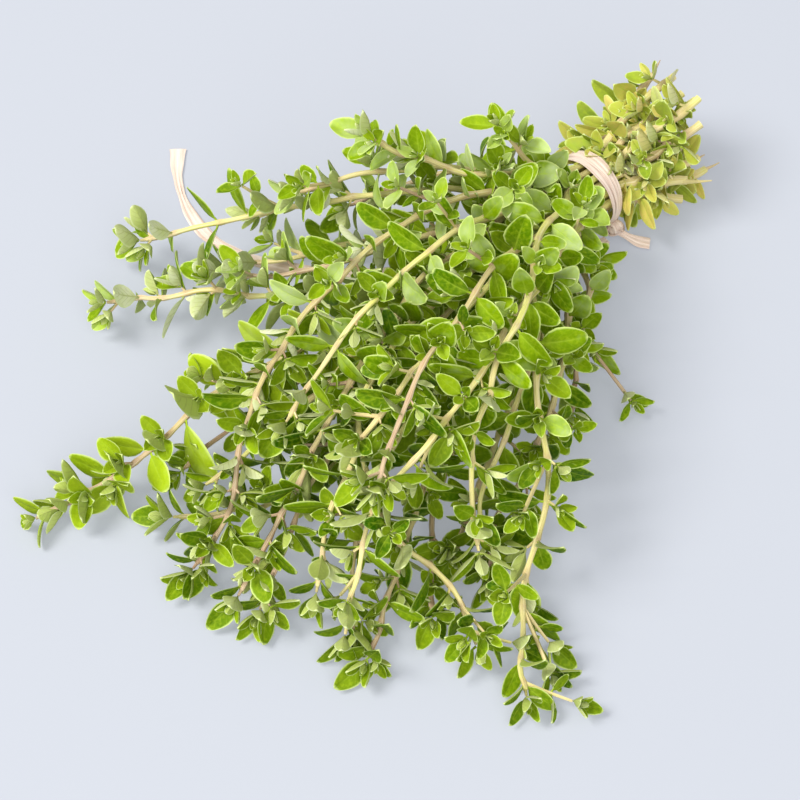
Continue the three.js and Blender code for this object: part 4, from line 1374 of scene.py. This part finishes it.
def leaf_material(name, deep, fresh, painted_sheen, lime, old_a, old_b, vein, rim_and_highlight, roughness, vein_height,
                  vein_share):
    """Leaf skin: tones from leaf to leaf with a painted sheen on the palest, a midrib and side veins, a pale
    rim with a painted highlight on it, and fine mottling.
    """
    graph = Graph(name)
    steps, times, plus, less = graph.steps, graph.times, graph.plus, graph.less
    parts = graph.add("SeparateXYZ", {0: graph.coordinates("UV")})
    along, across = parts.outputs[0], parts.outputs[1]
    off_rib = graph.math("ABSOLUTE", less(across, 0.5))
    spot = graph.coordinates("Object")
    mottle = graph.noise(spot, 1100, 3)
    patches = graph.noise(spot, 230, 2)
    dots = graph.add("TexVoronoi", {"Vector": spot, "Scale": 2600}).outputs["Distance"]

    # From leaf to leaf and in patches: deep to fresh greens, with painted shade toward the front of the bunch
    # and painted light behind, then a painted sheen of pale tint on the palest tones, lime young leaves, old
    # yellows.
    tone = plus(graph.value("tone"), times(less(patches, 0.5), 0.55))
    color = graph.mix(steps(tone, (0.1, 0), (0.95, 1)), deep, fresh)
    # Painted sheen: the palest tones are mixed toward a pale tint that stands in for a glossy highlight.
    color = graph.mix(steps(tone, (0.70, 0), (1.1, 0.7)), color, painted_sheen)
    color = graph.mix(graph.value("youth"), color, lime)
    old = graph.mix(steps(tone, (0.25, 0), (0.75, 1)), old_a, old_b)
    color = graph.mix(graph.value("age"), color, old)
    color = graph.mix(steps(mottle, (0.45, 0), (0.75, 0.35)), color, lime)
    pale_base = times(steps(along, (0.12, 0.5), (0.5, 0)), steps(off_rib, (0, 1), (0.4, 0.2)))
    color = graph.mix(pale_base, color, vein)

    # The veins, the rim and the stalk. Side veins lean toward the tip. The pale rim is the leaf's own margin
    # and a painted highlight along it.
    side_vein = graph.math("PINGPONG", less(along, times(off_rib, SIDE_VEIN_LEAN)), SIDE_VEIN_SPACING)
    side_vein = steps(graph.math("DIVIDE", side_vein, SIDE_VEIN_SPACING), (0, 1), (0.26, 0))
    side_vein = times(side_vein, steps(off_rib, (0, 0.7), (0.34, 0.4), (0.43, 0)))
    midrib = steps(off_rib, (0, 1), (0.015, 0.8), (0.05, 0))
    midrib = times(midrib, steps(along, (0, 1), (0.6, 0.7), (0.95, 0)))
    veins = graph.math("MAXIMUM", midrib, times(side_vein, vein_share))
    edge = graph.math("MAXIMUM", steps(off_rib, (0.415, 0), (0.475, 1)),
                      steps(along, (0.93, 0), (0.98, 1)))
    edge = times(edge, steps(along, (0.1, 0), (0.2, 1)))
    stalk = steps(along, (0.08, 1), (0.16, 0))
    color = graph.mix(times(veins, 0.4 + 0.5 * vein_share), color, vein)
    # The rim: the margin's own paleness, and a painted highlight along the thin edge.
    color = graph.mix(times(edge, 0.75), color, rim_and_highlight)
    color = graph.mix(times(stalk, 0.8), color, vein)

    grain = plus(times(veins, vein_height), times(mottle, 0.4))
    normal = graph.bump(plus(grain, times(graph.math("MINIMUM", dots, 0.4), 0.5)), 0.4, 0.0002)
    skin = graph.skin(color, roughness, LEAF_SPECULAR, Normal=normal)
    glow = graph.add("BsdfTranslucent", {"Color": graph.mix(0.6, color, lime), "Normal": normal}).outputs[0]
    return graph.finish(graph.add("MixShader", {0: TRANSLUCENT_SHARE, 1: skin, 2: glow}).outputs[0])


def stem_material():
    """Stem skin: rosy near the tip, yellow-green to cream below, brown at the nodes, with long ridges."""
    graph = Graph("thyme_stem")
    mix, steps = graph.mix, graph.steps
    grain = graph.noise(graph.stretched(graph.coordinates("UV"), (0.8, 14, 1)), 1, 4)
    patches = graph.noise(graph.coordinates("Object"), 120, 2)
    woody = graph.plus(graph.value("woody"), graph.times(graph.less(patches, 0.5), 0.5))
    pink = mix(steps(patches, (0.4, 0), (0.62, 1)), (0.52, 0.36, 0.24), (0.36, 0.20, 0.13))
    cream = mix(steps(patches, (0.35, 0), (0.65, 1)), (0.66, 0.65, 0.16), (0.74, 0.62, 0.26))
    rosy = graph.plus(steps(woody, (0.1, 0.55), (0.5, 0)), graph.less(graph.value("tone"), 0.72))
    color = mix(steps(rosy, (0, 0), (0.6, 0.9)), cream, pink)
    color = mix(graph.times(graph.value("node"), 0.55), color, (0.45, 0.27, 0.17))
    color = mix(steps(grain, (0.45, 0), (0.7, 0.45)), color, (0.92, 0.88, 0.66))
    color = mix(steps(grain, (0.3, 0.35), (0.42, 0)), color, (0.30, 0.24, 0.08))
    return graph.finish(graph.skin(color, 0.52, 0.4, Normal=graph.bump(grain, 0.5, 0.00025)))


def raffia_material():
    """Dry raffia: pinkish beige, with long pale and brown fibres."""
    graph = Graph("raffia_strip")
    mix, steps = graph.mix, graph.steps
    uv = graph.coordinates("UV")
    fibre = graph.noise(graph.stretched(uv, (0.5, 26, 1)), 1, 5, Roughness=0.6)
    patches = graph.noise(graph.stretched(uv, (0.9, 3, 1)), 1, 2)
    color = mix(steps(patches, (0.35, 0), (0.65, 1)), (0.66, 0.49, 0.40), (0.82, 0.68, 0.59))
    color = mix(steps(fibre, (0.5, 0), (0.72, 0.7)), color, (0.93, 0.86, 0.80))
    color = mix(steps(fibre, (0.28, 0.45), (0.44, 0)), color, (0.46, 0.30, 0.21))
    normal = graph.bump(fibre, 0.6, 0.0003)
    return graph.finish(graph.skin(color, 0.6, 0.35, Normal=normal, **{"Sheen Weight": 0.15}))


def floor_material():
    """A matt blue-grey floor that gives off a little light, so that shadows on it stay soft."""
    graph = Graph("pale_floor")
    glow = {"Emission Color": (0.84, 0.888, 1), "Emission Strength": 0.295}
    return graph.finish(graph.skin((0.268, 0.283, 0.318), 0.9, 0.1, **glow))


# ---- Camera, floor and light ----
CAMERA_TARGET = [-87.3, -23.0, 15]
CAMERA_PLACE = [-345.4, -309.6, 474.6]
PICTURE_WIDTH = 192
NEAREST = 0.01
FLOOR_SIZE = 6
WORLD_COLOR = (1.0, 0.99, 0.96, 1)
WORLD_STRENGTH = 0.52


def turned_to(item, target):
    """Turns a camera or lamp to a target in metres, and gives the way there."""
    view = Vector(target) - item.location
    item.rotation_euler = view.to_track_quat("-Z", "Y").to_euler()
    return view


def add_camera():
    """The camera, which takes in the picture's width at its target."""
    data = bpy.data.cameras.new("camera")
    camera = in_scene("camera", data)
    camera.location = place(CAMERA_PLACE)
    view = turned_to(camera, place(CAMERA_TARGET))
    data.sensor_fit = "HORIZONTAL"
    data.angle = 2 * math.atan(PICTURE_WIDTH / 2 * MM / view.length)
    data.clip_start = NEAREST
    bpy.context.scene.camera = camera


def add_floor():
    """The pale floor that the bunch lies on."""
    bpy.ops.mesh.primitive_plane_add(size=FLOOR_SIZE)
    floor = bpy.context.object
    floor.name = "floor"
    floor.data.materials.append(floor_material())


def soft_light(name, location, size, power, color):
    """A square lamp, its place and size in metres and its power in watts, turned to the tie."""
    data = bpy.data.lights.new(name, "AREA")
    data.size, data.energy, data.color = size, power, color
    lamp = in_scene(name, data)
    lamp.location = location
    turned_to(lamp, (0, 0, 0))


def add_world():
    """Even light from all around."""
    world = bpy.data.worlds.new("studio")
    world.use_nodes = True
    background = world.node_tree.nodes["Background"].inputs
    background["Color"].default_value = WORLD_COLOR
    background["Strength"].default_value = WORLD_STRENGTH
    bpy.context.scene.world = world
    bpy.context.scene.view_settings.view_transform = "Standard"


# ---- The pieces ----

def add_tail(raffia):
    """The long free end of the tie."""
    strip = route_strip(TAIL_ROUTE, TAIL_WIDTHS, TAIL_CRUMPLES, TAIL_ROLL, seed=20)
    tail = skin_object("raffia_tail", [strip], [raffia], RAFFIA_CREASE)
    tail_line, _ = smooth_line(TAIL_ROUTE, CORD_STEP)
    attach(tail, "root")
    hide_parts("tie_tail")
    place(TAIL_ROUTE[0])
    ways_along(tail_line)[-1] * MM
    [place(point) for point in tail_line]


def add_tie(raffia):
    """The strip round the neck, its knot and its short free end."""
    tie = tie_object(raffia)
    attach(tie, "root")
    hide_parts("tie")


def add_sprigs():
    """The sprigs, each with its leaves as one piece and its stem as another."""
    top, under = leaf_material("thyme_leaf_top", **LEAF_TOP), leaf_material("thyme_leaf_under", **LEAF_UNDER)
    bark = stem_material()
    mark_tie()
    sprigs = grow_sprigs()
    for sprig in sprigs:
        dress_sprig(sprig)
    for sprig in sprigs:
        node = f"sprig_{sprig.index + 1:02d}"
        leaves = leaves_object(sprig, f"{node}_leaves", [top, under])
        stem = stem_object(sprig, f"{node}_stem", bark)
        for piece, slot in ((leaves, "leaf"), (stem, "stem")):
            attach(piece, "root")
            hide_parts(node)


add_camera()
raffia = raffia_material()
add_tail(raffia)
add_tie(raffia)
add_sprigs()
add_floor()
soft_light("key", (-1.8, 1.0, 2.6), size=1.5, power=132, color=(1.0, 0.98, 0.94))
soft_light("fill", (-1.3, -1.9, 2.0), size=2.4, power=68, color=(1.0, 1.0, 0.98))
add_world()
